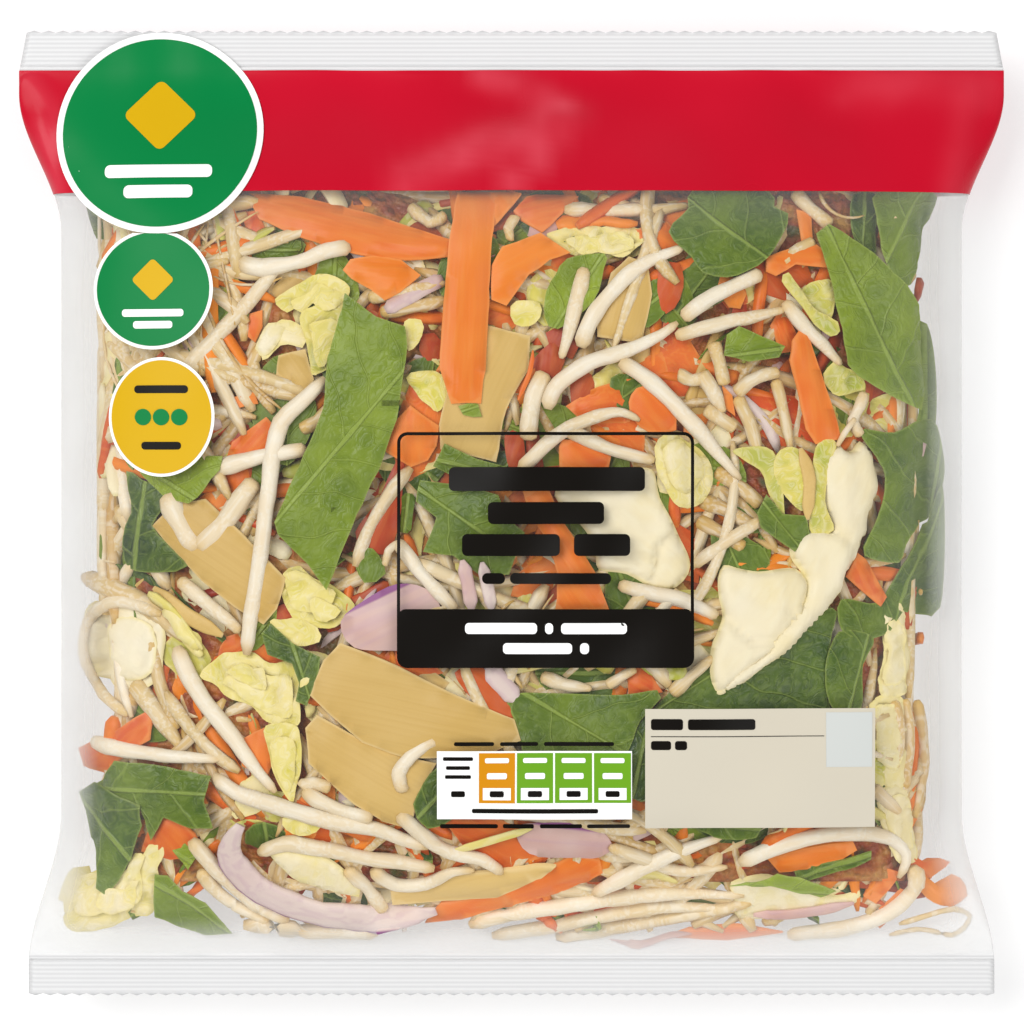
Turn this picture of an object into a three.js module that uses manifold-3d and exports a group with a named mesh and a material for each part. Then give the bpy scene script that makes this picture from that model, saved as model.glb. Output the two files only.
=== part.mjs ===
// A sealed pillow bag of prepared stir-fry vegetables, lying on its back with its printed front up.
// Millimetres. +X runs across the bag to the right, +Y towards its top seal and +Z out of its front.
// The origin is the middle of the surface that the bag lies on.
import * as THREE from "three";
import { mergeVertices } from "three/addons/utils/BufferGeometryUtils.js";
import Module from "manifold-3d";

// Plan outline of the bag, seen from the front.
const halfLength = 113;
const sealDepth = 9;
const bellyHalfWidth = 105.4;
const topSealHalfWidth = 115.2;
const topCornerHalfWidth = 113.5;
const bottomSealHalfWidth = 113.1;
const topFlare = { from: 98, to: 66 };
const bottomFlare = { from: -106, to: -70 };

// Side view: the heights of the film above the surface, and how far from each end it is full.
const backHeight = 0.4;
const sealHeight = 19;
const frontRise = 28.5;
const backDrop = 22;
const topTaper = { from: 104.3, to: 60 };
const bottomTaper = { from: -104.3, to: -68 };
const taperPower = 1.5;
const frontSectionPower = 2.35;
const backSectionPower = 3.2;
// The front is highest a little below the middle and arches down by archDrop over archSpan.
const archCentre = -8;
const archSpan = 80;
const archDrop = 3.2;

// Lumps where the vegetables press on the film: height, and the length of a wave across and along.
const lumps = [
  { height: 1.1, across: 71, along: 83, shiftX: 0.4, shiftY: 1.3 },
  { height: 0.9, across: 43, along: 57, shiftX: 2.2, shiftY: 0.2 },
  { height: 0.6, across: 33, along: 37, shiftX: 4.1, shiftY: 3.3 },
];

// Pleats that run from a seal down the taper, most of all halfway along it.
const pleats = [
  { height: 0.9, across: 52, shiftX: 0.9 },
  { height: 0.6, across: 37, shiftX: 2.6 },
];

// The end seals: a crimped strip with ribs across the bag and a saw-cut outer edge.
const sealThickness = 0.8;
const ribCount = 8;
const ribHeight = 0.22;
const toothPitch = 3.4;
const toothDepth = 0.5;

// The seam down the back, folded flat against the bag.
const seamHalfWidth = 6;
const seamEnd = 103.5;
const seamSteps = 26;

// Round labels on the front: centre, and half size across and along the bag.
const labelThickness = 0.4;
const labelGap = 0.35;
const labels = {
  largeGreen: { x: -81.9, y: 88.5, halfX: 24.2, halfY: 23.9, rings: 6, sectors: 40 },
  smallGreen: { x: -82.8, y: 51.7, halfX: 13.9, halfY: 13.9, rings: 3, sectors: 32 },
  yellow: { x: -80.8, y: 22.2, halfX: 12.3, halfY: 13.8, rings: 3, sectors: 32 },
};

const pointsAround = 60;
const rowsAlong = 48;

const wasm = await Module();
wasm.setup();

// 0 before `from`, 1 past `to`, straight between them.
function share(value, { from, to }) {
  return THREE.MathUtils.clamp((value - from) / (to - from), 0, 1);
}

function smoothShare(value, range) {
  return THREE.MathUtils.smoothstep(share(value, range), 0, 1);
}

// How far the bag reaches to each side at the place y along it.
function halfWidthAt(y) {
  const cornerShare = share(y, { from: halfLength - sealDepth, to: halfLength });
  const topWidth = THREE.MathUtils.lerp(topSealHalfWidth, topCornerHalfWidth, cornerShare);
  const sealWidth = y > 0 ? topWidth : bottomSealHalfWidth;
  const flare = y > 0 ? topFlare : bottomFlare;
  return THREE.MathUtils.lerp(sealWidth, bellyHalfWidth, smoothShare(y, flare));
}

// How full the bag is at the place y along it: 0 at the seals and 1 over the belly.
function fullnessAt(y) {
  const taper = y > 0 ? topTaper : bottomTaper;
  return Math.sin((Math.PI / 2) * share(y, taper)) ** taperPower;
}

// How high a section stands at x, as a share of its height in the middle.
function sectionShare(x, y, power) {
  const across = Math.min(1, Math.abs(x) / halfWidthAt(y));
  return (1 - across ** power) ** (1 / power);
}

// A wave's height at a place, for a wave of this length.
function wave(place, length, shift) {
  return Math.sin((2 * Math.PI * place) / length + shift);
}

// The film's own relief on the front: lumps over the belly and pleats on the tapers.
function reliefAt(x, y) {
  const fullness = fullnessAt(y);
  let lump = 0;
  for (const { height, across, along, shiftX, shiftY } of lumps) {
    lump += height * wave(x, across, shiftX) * wave(y, along, shiftY);
  }
  let pleat = 0;
  for (const { height, across, shiftX } of pleats) {
    pleat += height * wave(x, across, shiftX);
  }
  const onTaper = 4 * fullness * (1 - fullness);
  return (lump * fullness + pleat * onTaper) * sectionShare(x, y, 2);
}

function frontAt(x, y) {
  const arch = 1 - (archDrop / frontRise) * ((y - archCentre) / archSpan) ** 2;
  const rise = frontRise * arch * fullnessAt(y) * sectionShare(x, y, frontSectionPower);
  return sealHeight + sealThickness / 2 + rise + reliefAt(x, y);
}

function backAt(x, y) {
  const drop = backDrop * fullnessAt(y) * sectionShare(x, y, backSectionPower);
  return Math.max(backHeight, sealHeight - sealThickness / 2 - drop);
}

// The front's outward direction, from its slopes across and along the bag.
function frontNormal(x, y) {
  const step = 0.5;
  const slopeX = (frontAt(x + step, y) - frontAt(x - step, y)) / (2 * step);
  const slopeY = (frontAt(x, y + step) - frontAt(x, y - step)) / (2 * step);
  return new THREE.Vector3(-slopeX, -slopeY, 1).normalize();
}

// Calls move(point) for each vertex of a geometry.
function moveVertices(geometry, move) {
  const position = geometry.getAttribute("position");
  const point = new THREE.Vector3();
  for (let i = 0; i < position.count; i++) {
    point.fromBufferAttribute(position, i);
    move(point);
    position.setXYZ(i, point.x, point.y, point.z);
  }
  return geometry;
}

function toSolid(geometry) {
  const bare = geometry.clone();
  bare.deleteAttribute("normal");
  bare.deleteAttribute("uv");
  const merged = mergeVertices(bare, 1e-3);
  const vertProperties = new Float32Array(merged.getAttribute("position").array);
  const triVerts = new Uint32Array(merged.getIndex().array);
  return new wasm.Manifold(new wasm.Mesh({ numProp: 3, vertProperties, triVerts }));
}

function toGeometry(solid) {
  const mesh = solid.getMesh();
  const geometry = new THREE.BufferGeometry();
  geometry.setAttribute("position", new THREE.BufferAttribute(mesh.vertProperties, 3));
  geometry.setIndex(new THREE.BufferAttribute(mesh.triVerts, 1));
  geometry.computeVertexNormals();
  return geometry;
}

// The filled part: a cylinder whose rings are pressed into the bag's sections.
function pillow() {
  const geometry = new THREE.CylinderGeometry(1, 1, 2, pointsAround, rowsAlong);
  const reach = topTaper.from;
  return toSolid(
    moveVertices(geometry, (point) => {
      const radius = Math.hypot(point.x, point.z);
      // Rows crowd towards both ends, where the bag tapers.
      const y = reach * Math.sin((Math.PI / 2) * point.y);
      const angle = Math.atan2(point.z, point.x);
      const cosine = Math.cos(angle);
      const spread = Math.sign(cosine) * Math.abs(cosine) ** (2 / frontSectionPower);
      const x = radius < 0.5 ? 0 : halfWidthAt(y) * spread;
      const isSide = Math.abs(Math.sin(angle)) < 1e-6;
      const isCentre = radius < 0.5;
      let z = angle > 0 ? frontAt(x, y) : backAt(x, y);
      if (isSide || isCentre) z = sealHeight;
      point.set(x, y, z);
    }),
  );
}

// Section of a seal's strip, along the bag and up, with a row of ribs on both faces.
function ribbedSection() {
  const shape = new THREE.Shape();
  const pitch = sealDepth / ribCount;
  const half = sealThickness / 2;
  const peak = half + ribHeight;
  shape.moveTo(-1, -half);
  for (let rib = 0; rib < ribCount; rib++) {
    shape.lineTo(rib * pitch, -half);
    shape.lineTo((rib + 0.5) * pitch, -peak);
  }
  shape.lineTo(sealDepth + 1, -half);
  shape.lineTo(sealDepth + 1, half);
  for (let rib = ribCount - 1; rib >= 0; rib--) {
    shape.lineTo((rib + 0.5) * pitch, peak);
    shape.lineTo(rib * pitch, half);
  }
  shape.lineTo(-1, half);
  return shape;
}

// Plan outline of a seal at the end that `side` names, with its saw-cut edge.
function sealOutline(side) {
  const inner = side * (halfLength - sealDepth - 1);
  const outer = side * halfLength;
  const root = side * (halfLength - toothDepth);
  const innerWidth = halfWidthAt(inner);
  const outerWidth = halfWidthAt(outer);
  const teeth = Math.round((2 * outerWidth) / toothPitch);
  const shape = new THREE.Shape();
  shape.moveTo(-innerWidth, inner);
  shape.lineTo(innerWidth, inner);
  for (let tooth = teeth; tooth > 0; tooth--) {
    shape.lineTo(outerWidth * ((2 * tooth) / teeth - 1), root);
    shape.lineTo(outerWidth * ((2 * tooth - 1) / teeth - 1), outer);
  }
  shape.lineTo(-outerWidth, root);
  return shape;
}

function seal(side) {
  const width = 2 * topSealHalfWidth + 10;
  const strip = new THREE.ExtrudeGeometry(ribbedSection(), { depth: width, bevelEnabled: false });
  // The section's own X turns to the bag's length, and its depth across the bag.
  strip.applyMatrix4(
    new THREE.Matrix4().makeBasis(
      new THREE.Vector3(0, 1, 0),
      new THREE.Vector3(0, 0, 1),
      new THREE.Vector3(1, 0, 0),
    ),
  );
  const start = side > 0 ? halfLength - sealDepth : -halfLength;
  strip.translate(-width / 2, start, sealHeight);
  const plate = new THREE.ExtrudeGeometry(sealOutline(side), { depth: 4, bevelEnabled: false });
  plate.translate(0, 0, sealHeight - 2);
  return toSolid(strip).intersect(toSolid(plate));
}

// The back seam: a strip that follows the back and stands out of it by backHeight.
function backSeam() {
  const geometry = new THREE.BoxGeometry(2 * seamHalfWidth, 2 * seamEnd, 1, 2, seamSteps, 1);
  return toSolid(
    moveVertices(geometry, (point) => {
      const back = backAt(point.x, point.y);
      point.z = point.z > 0 ? back + 1 : back - backHeight;
    }),
  );
}

// A round label that follows the front a little above it.
function roundLabel({ x, y, halfX, halfY, rings, sectors }) {
  const profile = [];
  for (let ring = 0; ring <= rings; ring++) {
    profile.push(new THREE.Vector2(ring / rings, 0));
  }
  for (let ring = rings; ring >= 0; ring--) {
    profile.push(new THREE.Vector2(ring / rings, 1));
  }
  const geometry = new THREE.LatheGeometry(profile, sectors);
  geometry.rotateX(Math.PI / 2);
  return toSolid(
    moveVertices(geometry, (point) => {
      const placeX = x + halfX * point.x;
      const placeY = y + halfY * point.y;
      const lift = labelGap + labelThickness * point.z;
      const onFront = new THREE.Vector3(placeX, placeY, frontAt(placeX, placeY));
      point.copy(onFront).addScaledVector(frontNormal(placeX, placeY), lift);
    }),
  );
}

// A tall round cutter with a label's outline, a little larger.
function labelCutter({ x, y, halfX, halfY, sectors }) {
  const geometry = new THREE.CylinderGeometry(1, 1, 200, sectors * 2);
  geometry.rotateX(Math.PI / 2);
  geometry.scale(halfX + labelGap, halfY + labelGap, 1);
  geometry.translate(x, y, sealHeight);
  return toSolid(geometry);
}

function piece(name, solid, color, roughness) {
  const material = new THREE.MeshStandardMaterial({ color, roughness, metalness: 0 });
  const mesh = new THREE.Mesh(toGeometry(solid), material);
  mesh.name = name;
  return mesh;
}

const bagSolid = pillow().add(seal(1)).add(seal(-1)).add(backSeam());
const largeLabel = roundLabel(labels.largeGreen);
// The large label overlaps the edge of the small one, which is cut back to it.
const smallLabel = roundLabel(labels.smallGreen).subtract(labelCutter(labels.largeGreen));
const yellowLabel = roundLabel(labels.yellow);

const stirFryBag = new THREE.Group();
stirFryBag.add(piece("filled_bag", bagSolid, 0xd8cfae, 0.35));
stirFryBag.add(piece("round_label_large", largeLabel, 0x0a8f47, 0.4));
stirFryBag.add(piece("round_label_small", smallLabel, 0x0a8f47, 0.4));
stirFryBag.add(piece("round_label_yellow", yellowLabel, 0xe0b81c, 0.4));

export default stirFryBag;
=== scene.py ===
import math
import random

import bmesh
import bpy
from mathutils import Matrix, Vector, noise


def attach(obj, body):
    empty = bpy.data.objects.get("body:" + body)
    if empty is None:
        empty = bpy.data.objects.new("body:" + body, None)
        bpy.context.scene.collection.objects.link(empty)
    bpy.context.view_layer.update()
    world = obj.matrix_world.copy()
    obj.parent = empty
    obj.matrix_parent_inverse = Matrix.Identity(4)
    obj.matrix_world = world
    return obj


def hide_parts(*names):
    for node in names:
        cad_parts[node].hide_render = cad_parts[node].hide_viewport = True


# A sealed bag of stir-fry vegetables, lying on its back: clear film with printed fields, and what is in it.
# Shapes are worked out in millimetres. keepPiece() writes them in metres, at the bag's own place.
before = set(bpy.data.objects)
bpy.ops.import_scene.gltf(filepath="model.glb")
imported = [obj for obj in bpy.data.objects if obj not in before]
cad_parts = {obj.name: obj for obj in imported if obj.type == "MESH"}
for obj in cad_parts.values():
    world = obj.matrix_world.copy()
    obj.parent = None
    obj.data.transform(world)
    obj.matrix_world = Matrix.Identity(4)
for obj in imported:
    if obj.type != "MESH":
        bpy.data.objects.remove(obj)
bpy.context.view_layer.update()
print("frame loaded:", sorted(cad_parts))

# the bag's form, in the same figures as its solid
bag = {
    "halfLength": 113.0,
    "sealDepth": 9.0,
    "bellyHalfWidth": 105.4,
    "topSealHalfWidth": 115.2,
    "topCornerHalfWidth": 113.5,
    "bottomSealHalfWidth": 113.1,
    "topFlare": (98.0, 66.0),
    "bottomFlare": (-106.0, -70.0),
    "backHeight": 0.4,
    "sealHeight": 19.0,
    "sealThickness": 0.8,
    "frontRise": 28.5,
    "backDrop": 22.0,
    "topTaper": (104.3, 60.0),
    "bottomTaper": (-104.3, -68.0),
    "taperPower": 1.5,
    "frontPower": 2.35,
    "backPower": 3.2,
    "archCentre": -8.0,
    "archSpan": 80.0,
    "archDrop": 3.2,
}
# height, length across, length along, shift across, shift along
lumps = [(1.1, 71, 83, 0.4, 1.3), (0.9, 43, 57, 2.2, 0.2), (0.6, 33, 37, 4.1, 3.3)]
pleats = [(0.9, 52, 0.9), (0.6, 37, 2.6)]  # height, length across, shift


def share(value, start, end):  # 0 before start, 1 past end
    return min(1.0, max(0.0, (value - start) / (end - start)))


def smooth(value, start, end):
    part = share(value, start, end)
    return part * part * (3 - 2 * part)


def mixed(a, b, part):
    return a + (b - a) * part


def halfWidthAt(y):
    corner = share(y, bag["halfLength"] - bag["sealDepth"], bag["halfLength"])
    topWidth = mixed(bag["topSealHalfWidth"], bag["topCornerHalfWidth"], corner)
    sealWidth = topWidth if y > 0 else bag["bottomSealHalfWidth"]
    flare = bag["topFlare"] if y > 0 else bag["bottomFlare"]
    return mixed(sealWidth, bag["bellyHalfWidth"], smooth(y, *flare))


def fullnessAt(y):  # 0 at the seals and 1 over the belly
    taper = bag["topTaper"] if y > 0 else bag["bottomTaper"]
    return math.sin(math.pi / 2 * share(y, *taper)) ** bag["taperPower"]


def sectionShare(across, power):
    return (1 - min(1.0, abs(across)) ** power) ** (1 / power)


def reliefAt(x, y, fullness):
    lump = sum(h * math.sin(math.tau * x / lx + sx) * math.sin(math.tau * y / ly + sy) for h, lx, ly, sx,
        sy in lumps)
    pleat = sum(h * math.sin(math.tau * x / lx + sx) for h, lx, sx in pleats)
    return lump * fullness + pleat * 4 * fullness * (1 - fullness)


def archAt(y):  # the front is a little lower towards its ends
    return 1 - bag["archDrop"] / bag["frontRise"] * ((y - bag["archCentre"]) / bag["archSpan"]) ** 2


def frontAt(x, y):
    fullness = fullnessAt(y)
    across = x / halfWidthAt(y)
    rise = bag["frontRise"] * archAt(y) * fullness * sectionShare(across, bag["frontPower"])
    return bag["sealHeight"] + bag["sealThickness"] / 2 + rise + reliefAt(x, y,
        fullness) * sectionShare(across, 2)


def backAt(x, y):
    drop = bag["backDrop"] * fullnessAt(y) * sectionShare(x / halfWidthAt(y), bag["backPower"])
    return max(bag["backHeight"], bag["sealHeight"] - bag["sealThickness"] / 2 - drop)


def normalOf(heightAt, x, y, step=0.6):
    slopeX = (heightAt(x + step, y) - heightAt(x - step, y)) / (2 * step)
    slopeY = (heightAt(x, y + step) - heightAt(x, y - step)) / (2 * step)
    return Vector((-slopeX, -slopeY, 1)).normalized()


# the camera, and how the photograph's pixels lie over the bag
view = {"lens": 250.0, "sensor": 36.0, "pictureSide": 1024, "pixel": 0.2342, "middlePixel": (511.5, 513.0)}
view["distance"] = view["pixel"] * view["pictureSide"] * view["lens"] / view["sensor"]


def flatSeen(px, py):  # a pixel's place in the bag's middle plane
    return (px - view["middlePixel"][0]) * view["pixel"], (view["middlePixel"][1] - py) * view["pixel"]


def seenAt(px, py):  # the place on the front that shows at a pixel of the photograph
    x, y = flatSeen(px, py)
    nearer = 1.0
    for _ in range(2):
        above = frontAt(x * nearer, y * nearer) - bag["sealHeight"]
        nearer = 1 - above / view["distance"]
    return x * nearer, y * nearer


def buildCamera():
    data = bpy.data.cameras.new("topCamera")
    data.lens = view["lens"]
    data.sensor_width = view["sensor"]
    data.clip_end = 20
    made = bpy.data.objects.new("topCamera", data)
    middle = view["pictureSide"] / 2
    x = (middle - view["middlePixel"][0]) * view["pixel"]
    y = (view["middlePixel"][1] - middle) * view["pixel"]
    made.location = Vector((x, y, bag["sealHeight"] + view["distance"])) * 0.001
    bpy.context.scene.collection.objects.link(made)
    bpy.context.scene.camera = made


def addNode(tree, kind, inputs=None, **settings):
    made = tree.nodes.new("ShaderNode" + kind)
    for name, value in settings.items():
        setattr(made, name, value)
    for name, value in (inputs or {}).items():
        if isinstance(value, bpy.types.NodeSocket):
            tree.links.new(value, made.inputs[name])
        else:
            made.inputs[name].default_value = value
    return made


def colour(red, green, blue):  # from 0 to 255 as on a screen, to linear light
    def linear(part):
        part /= 255
        return part / 12.92 if part <= 0.04045 else ((part + 0.055) / 1.055) ** 2.4

    return linear(red), linear(green), linear(blue), 1.0


# what the film and the light add to a tone
veil = {"tone": (0.045, 0.05, 0.058), "gain": 0.86, "least": 0.002}


def pigment(red, green, blue):  # the tone that looks so when it is seen through the film
    parts = zip(colour(red, green, blue), veil["tone"])
    return tuple(max(veil["least"], (part - added) * veil["gain"]) for part, added in parts) + (1.0,)


def newMaterial(name):
    made = bpy.data.materials.new(name)
    made.use_nodes = True
    made.node_tree.nodes.clear()
    return made, made.node_tree


def finishMaterial(tree, inputs):
    principled = addNode(tree, "BsdfPrincipled", inputs)
    addNode(tree, "OutputMaterial", {"Surface": principled.outputs["BSDF"]})


def newGroup(name, inputs, outputs):
    group = bpy.data.node_groups.new(name, "ShaderNodeTree")
    for label, kind, value in inputs:
        made = group.interface.new_socket(label, in_out="INPUT", socket_type="NodeSocket" + kind)
        made.default_value = value
    for label, kind in outputs:
        group.interface.new_socket(label, in_out="OUTPUT", socket_type="NodeSocket" + kind)
    return group, group.nodes.new("NodeGroupInput"), group.nodes.new("NodeGroupOutput")


def buildMottle():  # cloudy patches: a mask, and a lighter and a darker tone mixed by it
    group, given, out = newGroup(
        "mottle",
        [("Tone A", "Color", (1, 1, 1, 1)), ("Tone B", "Color", (0, 0, 0, 1)), ("Scale", "Float", 100),
            ("Contrast", "Float", 2)],
        [("Color", "Color"), ("Mask", "Float")],
    )
    place = addNode(group, "TexCoord")
    cloud = addNode(group, "TexNoise", {"Vector": place.outputs["Object"], "Scale": given.outputs["Scale"],
        "Detail": 1.5})
    centred = addNode(group, "Math", {0: cloud.outputs[0], 1: 0.5}, operation="SUBTRACT")
    scaled = addNode(group, "Math", {0: centred.outputs[0], 1: given.outputs["Contrast"], 2: 0.5},
        operation="MULTIPLY_ADD", use_clamp=True)
    tones = addNode(group, "Mix", {0: scaled.outputs[0], 6: given.outputs["Tone A"],
        7: given.outputs["Tone B"]}, data_type="RGBA")
    group.links.new(tones.outputs[2], out.inputs["Color"])
    group.links.new(scaled.outputs[0], out.inputs["Mask"])
    return group


def buildGrain():  # streaks along a piece, from its own along and across
    group, given, out = newGroup(
        "grain", [("Fineness", "Float", 1.0), ("Stretch", "Float", 0.12)], [("Mask", "Float")]
    )
    along = addNode(group, "Attribute", attribute_name="along")
    across = addNode(group, "Attribute", attribute_name="across")
    tint = addNode(group, "Attribute", attribute_name="tint")
    slow = addNode(group, "Math", {0: along.outputs["Fac"], 1: given.outputs["Stretch"]},
        operation="MULTIPLY")
    apart = addNode(group, "Math", {0: tint.outputs["Fac"], 1: 40.0}, operation="MULTIPLY")
    place = addNode(group, "CombineXYZ", {0: slow.outputs[0], 1: across.outputs["Fac"],
        2: apart.outputs[0]})
    streak = addNode(group, "TexNoise", {"Vector": place.outputs[0], "Scale": given.outputs["Fineness"],
        "Detail": 1.0})
    group.links.new(streak.outputs[0], out.inputs["Mask"])
    return group


groups = {"mottle": buildMottle(), "grain": buildGrain()}


def useGroup(tree, name, **inputs):
    made = tree.nodes.new("ShaderNodeGroup")
    made.node_tree = groups[name]
    for label, value in inputs.items():
        socket = made.inputs[label.replace("_", " ")]
        if isinstance(value, bpy.types.NodeSocket):
            tree.links.new(value, socket)
        else:
            socket.default_value = value
    return made


def rampOf(tree, mask, stops):
    made = addNode(tree, "ValToRGB", {"Fac": mask})
    marks = made.color_ramp.elements
    while len(marks) < len(stops):
        marks.new(0.5)
    for mark, (place, tone) in zip(marks, stops):
        mark.position = place
        mark.color = tone
    return made.outputs["Color"]


def mixTone(tree, mask, a, b):
    return addNode(tree, "Mix", {0: mask, 6: a, 7: b}, data_type="RGBA").outputs[2]


def ranged(tree, value, start, end, low=0.0, high=1.0):
    inputs = {0: value, 1: start, 2: end, 3: low, 4: high}
    return addNode(tree, "MapRange", inputs, interpolation_type="SMOOTHSTEP").outputs[0]


def calculated(tree, kind, a, b=0.0):
    return addNode(tree, "Math", {0: a, 1: b}, operation=kind).outputs[0]


def attributeOf(tree, name):
    return addNode(tree, "Attribute", attribute_name=name).outputs["Fac"]


# tones runs over the pieces' own tint, patches lie on them, and ends or rims take a tone of their own:
# brown tips on the sprouts, and on the cabbage a painted highlight along the curled rims
def vegetableMaterial(look):
    made, tree = newMaterial(look["name"])
    base = rampOf(tree, attributeOf(tree, "tint"), look["tones"])
    patch = useGroup(tree, "mottle", Scale=look["patchScale"], Contrast=2.5)
    spotted = calculated(tree, "MULTIPLY", patch.outputs["Mask"], look["patchShare"])
    base = mixTone(tree, spotted, base, look["patchTone"])
    grain = useGroup(tree, "grain", Fineness=look["grainFineness"], Stretch=look["grainStretch"])
    streak = ranged(tree, grain.outputs["Mask"], 0.42, 0.68, 0.0, look["grainShare"])
    base = mixTone(tree, streak, base, look["grainTone"])
    if "rimTone" in look:
        rim = ranged(tree, attributeOf(tree, "edge"), 0.0, look["rimWidth"], look["rimShare"], 0.0)
        base = mixTone(tree, rim, base, look["rimTone"])
    if "skinTone" in look:  # skin along one edge of a cut ring
        skin = ranged(tree, attributeOf(tree, "across"), look["skinFrom"], look["skinFrom"] + 0.7)
        base = mixTone(tree, skin, base, look["skinTone"])
    height = grain.outputs["Mask"]
    if "veinTone" in look:
        veins = veinMask(tree)
        base = mixTone(tree, calculated(tree, "MULTIPLY", veins, look["veinShare"]), base, look["veinTone"])
        height = calculated(tree, "ADD", height, veins)
    # painted light: pieces near the bag's rim glow a little in their own colour, by a mask of the rim
    glow = mixTone(tree, attributeOf(tree, "paintedRimGlow"), (0, 0, 0, 1), base)
    rough = ranged(tree, patch.outputs["Mask"], 0.0, 1.0, look["rough"] - 0.06, look["rough"] + 0.1)
    height = calculated(tree, "ADD", height, calculated(tree, "MULTIPLY", patch.outputs["Mask"], 0.6))
    bump = addNode(tree, "Bump", {"Strength": look["bump"], "Distance": 0.0005, "Height": height})
    inputs = {"Base Color": base, "Roughness": rough, "Normal": bump.outputs["Normal"],
        "Specular IOR Level": 0.25}
    finishMaterial(tree, {**inputs, "Emission Color": glow, "Emission Strength": 0.2})
    return made


veinPitch = 10.5  # millimetres from one side vein to the next


def veinMask(tree):  # a leaf's midrib and side veins, from its own along and across
    along = attributeOf(tree, "along")
    across = attributeOf(tree, "across")
    off = calculated(tree, "ABSOLUTE", across)
    place = addNode(tree, "TexCoord").outputs["Object"]
    wander = addNode(tree, "TexNoise", {"Vector": place, "Scale": 90.0, "Detail": 1.0}).outputs[0]
    wander = calculated(tree, "MULTIPLY", calculated(tree, "SUBTRACT", wander, 0.5), 7.0)
    nearMiddle = calculated(tree, "ADD", off, calculated(tree, "MULTIPLY", wander, 0.12))
    midrib = ranged(tree, nearMiddle, 0.2, 0.7, 1.0, 0.0)
    slant = calculated(tree, "SUBTRACT", along, calculated(tree, "MULTIPLY", off, 0.8))
    side = calculated(tree, "MULTIPLY", calculated(tree, "SIGN", across), 2.4)
    turned = calculated(tree, "ADD", calculated(tree, "ADD", slant, wander), side)
    phase = calculated(tree, "FRACT", calculated(tree, "DIVIDE", turned, veinPitch))
    offVein = calculated(tree, "ABSOLUTE", calculated(tree, "SUBTRACT", phase, 0.5))
    apart = calculated(tree, "MULTIPLY", offVein, veinPitch)
    sideVein = ranged(tree, apart, 0.05, 0.5, 0.55, 0.0)
    return calculated(tree, "MAXIMUM", midrib, sideVein)


looks = {
    "sprout": {
        "name": "beanSprout",
        "tones": [(0.0, pigment(194, 152, 90)), (0.45, pigment(218, 194, 146)),
            (1.0, pigment(241, 231, 210))],
        "patchTone": pigment(232, 200, 150), "patchScale": 110.0, "patchShare": 0.35,
        "grainTone": pigment(244, 238, 224), "grainFineness": 1.2, "grainStretch": 0.06, "grainShare": 0.4,
        "rimTone": pigment(212, 172, 92), "rimWidth": 4.5, "rimShare": 0.5,
        "rough": 0.42, "bump": 0.3,
    },
    "carrot": {
        "name": "carrotFlesh",
        "tones": [(0.0, pigment(204, 84, 36)), (0.4, pigment(224, 112, 42)), (1.0, pigment(240, 148, 70))],
        "patchTone": pigment(240, 152, 80), "patchScale": 75.0, "patchShare": 0.5,
        "grainTone": pigment(236, 150, 84), "grainFineness": 0.7, "grainStretch": 0.12, "grainShare": 0.3,
        "rimTone": pigment(240, 170, 108), "rimWidth": 0.7, "rimShare": 0.35,
        "rough": 0.42, "bump": 0.3,
    },
    "green": {
        "name": "leafGreen",
        "tones": [(0.0, pigment(60, 78, 32)), (0.3, pigment(86, 108, 46)), (0.6, pigment(118, 138, 66)),
            (1.0, pigment(158, 176, 80))],
        "patchTone": pigment(122, 140, 72), "patchScale": 90.0, "patchShare": 0.4,
        "grainTone": pigment(142, 160, 92), "grainFineness": 0.6, "grainStretch": 0.6, "grainShare": 0.22,
        "rimTone": pigment(164, 176, 104), "rimWidth": 0.5, "rimShare": 0.4,
        "veinTone": pigment(164, 182, 104), "veinShare": 0.5,
        "rough": 0.36, "bump": 0.8,
    },
    "cabbage": {
        "name": "cabbageLeaf",
        "tones": [(0.0, pigment(242, 232, 206)), (0.1, pigment(238, 226, 190)),
            (0.34, pigment(236, 222, 150)), (0.62, pigment(220, 208, 106)), (1.0, pigment(164, 176, 66))],
        "patchTone": pigment(236, 216, 152), "patchScale": 80.0, "patchShare": 0.4,
        "grainTone": pigment(244, 236, 208), "grainFineness": 0.5, "grainStretch": 0.3, "grainShare": 0.3,
        # the paler rim is a painted highlight along the curled edges
        "rimTone": pigment(232, 216, 140), "rimWidth": 1.0, "rimShare": 0.5,
        "rough": 0.46, "bump": 0.4,
    },
    "bamboo": {
        "name": "bambooShoot",
        "tones": [(0.0, pigment(198, 160, 94)), (0.5, pigment(208, 174, 110)),
            (1.0, pigment(224, 192, 128))],
        "patchTone": pigment(216, 186, 126), "patchScale": 45.0, "patchShare": 0.5,
        "grainTone": pigment(190, 154, 94), "grainFineness": 1.2, "grainStretch": 0.03, "grainShare": 0.14,
        "rimTone": pigment(232, 208, 158), "rimWidth": 0.7, "rimShare": 0.5,
        "rough": 0.44, "bump": 0.14,
    },
    "onion": {
        "name": "redOnion",
        "tones": [(0.0, pigment(206, 160, 150)), (0.5, pigment(216, 196, 190)),
            (1.0, pigment(232, 219, 206))],
        "patchTone": pigment(228, 208, 202), "patchScale": 90.0, "patchShare": 0.5,
        "grainTone": pigment(194, 162, 176), "grainFineness": 0.6, "grainStretch": 0.05, "grainShare": 0.3,
        "skinTone": pigment(156, 104, 150), "skinFrom": 2.85,
        "rough": 0.38, "bump": 0.25,
    },
    "pepper": {
        "name": "redPepper",
        "tones": [(0.0, pigment(150, 66, 36)), (0.5, pigment(188, 84, 46)), (1.0, pigment(216, 108, 70))],
        "patchTone": pigment(196, 112, 72), "patchScale": 80.0, "patchShare": 0.5,
        "grainTone": pigment(204, 124, 84), "grainFineness": 0.7, "grainStretch": 0.2, "grainShare": 0.3,
        "rough": 0.4, "bump": 0.25,
    },
}
vegetableMaterials = {kind: vegetableMaterial(look) for kind, look in looks.items()}
print("vegetable materials made")


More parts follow.
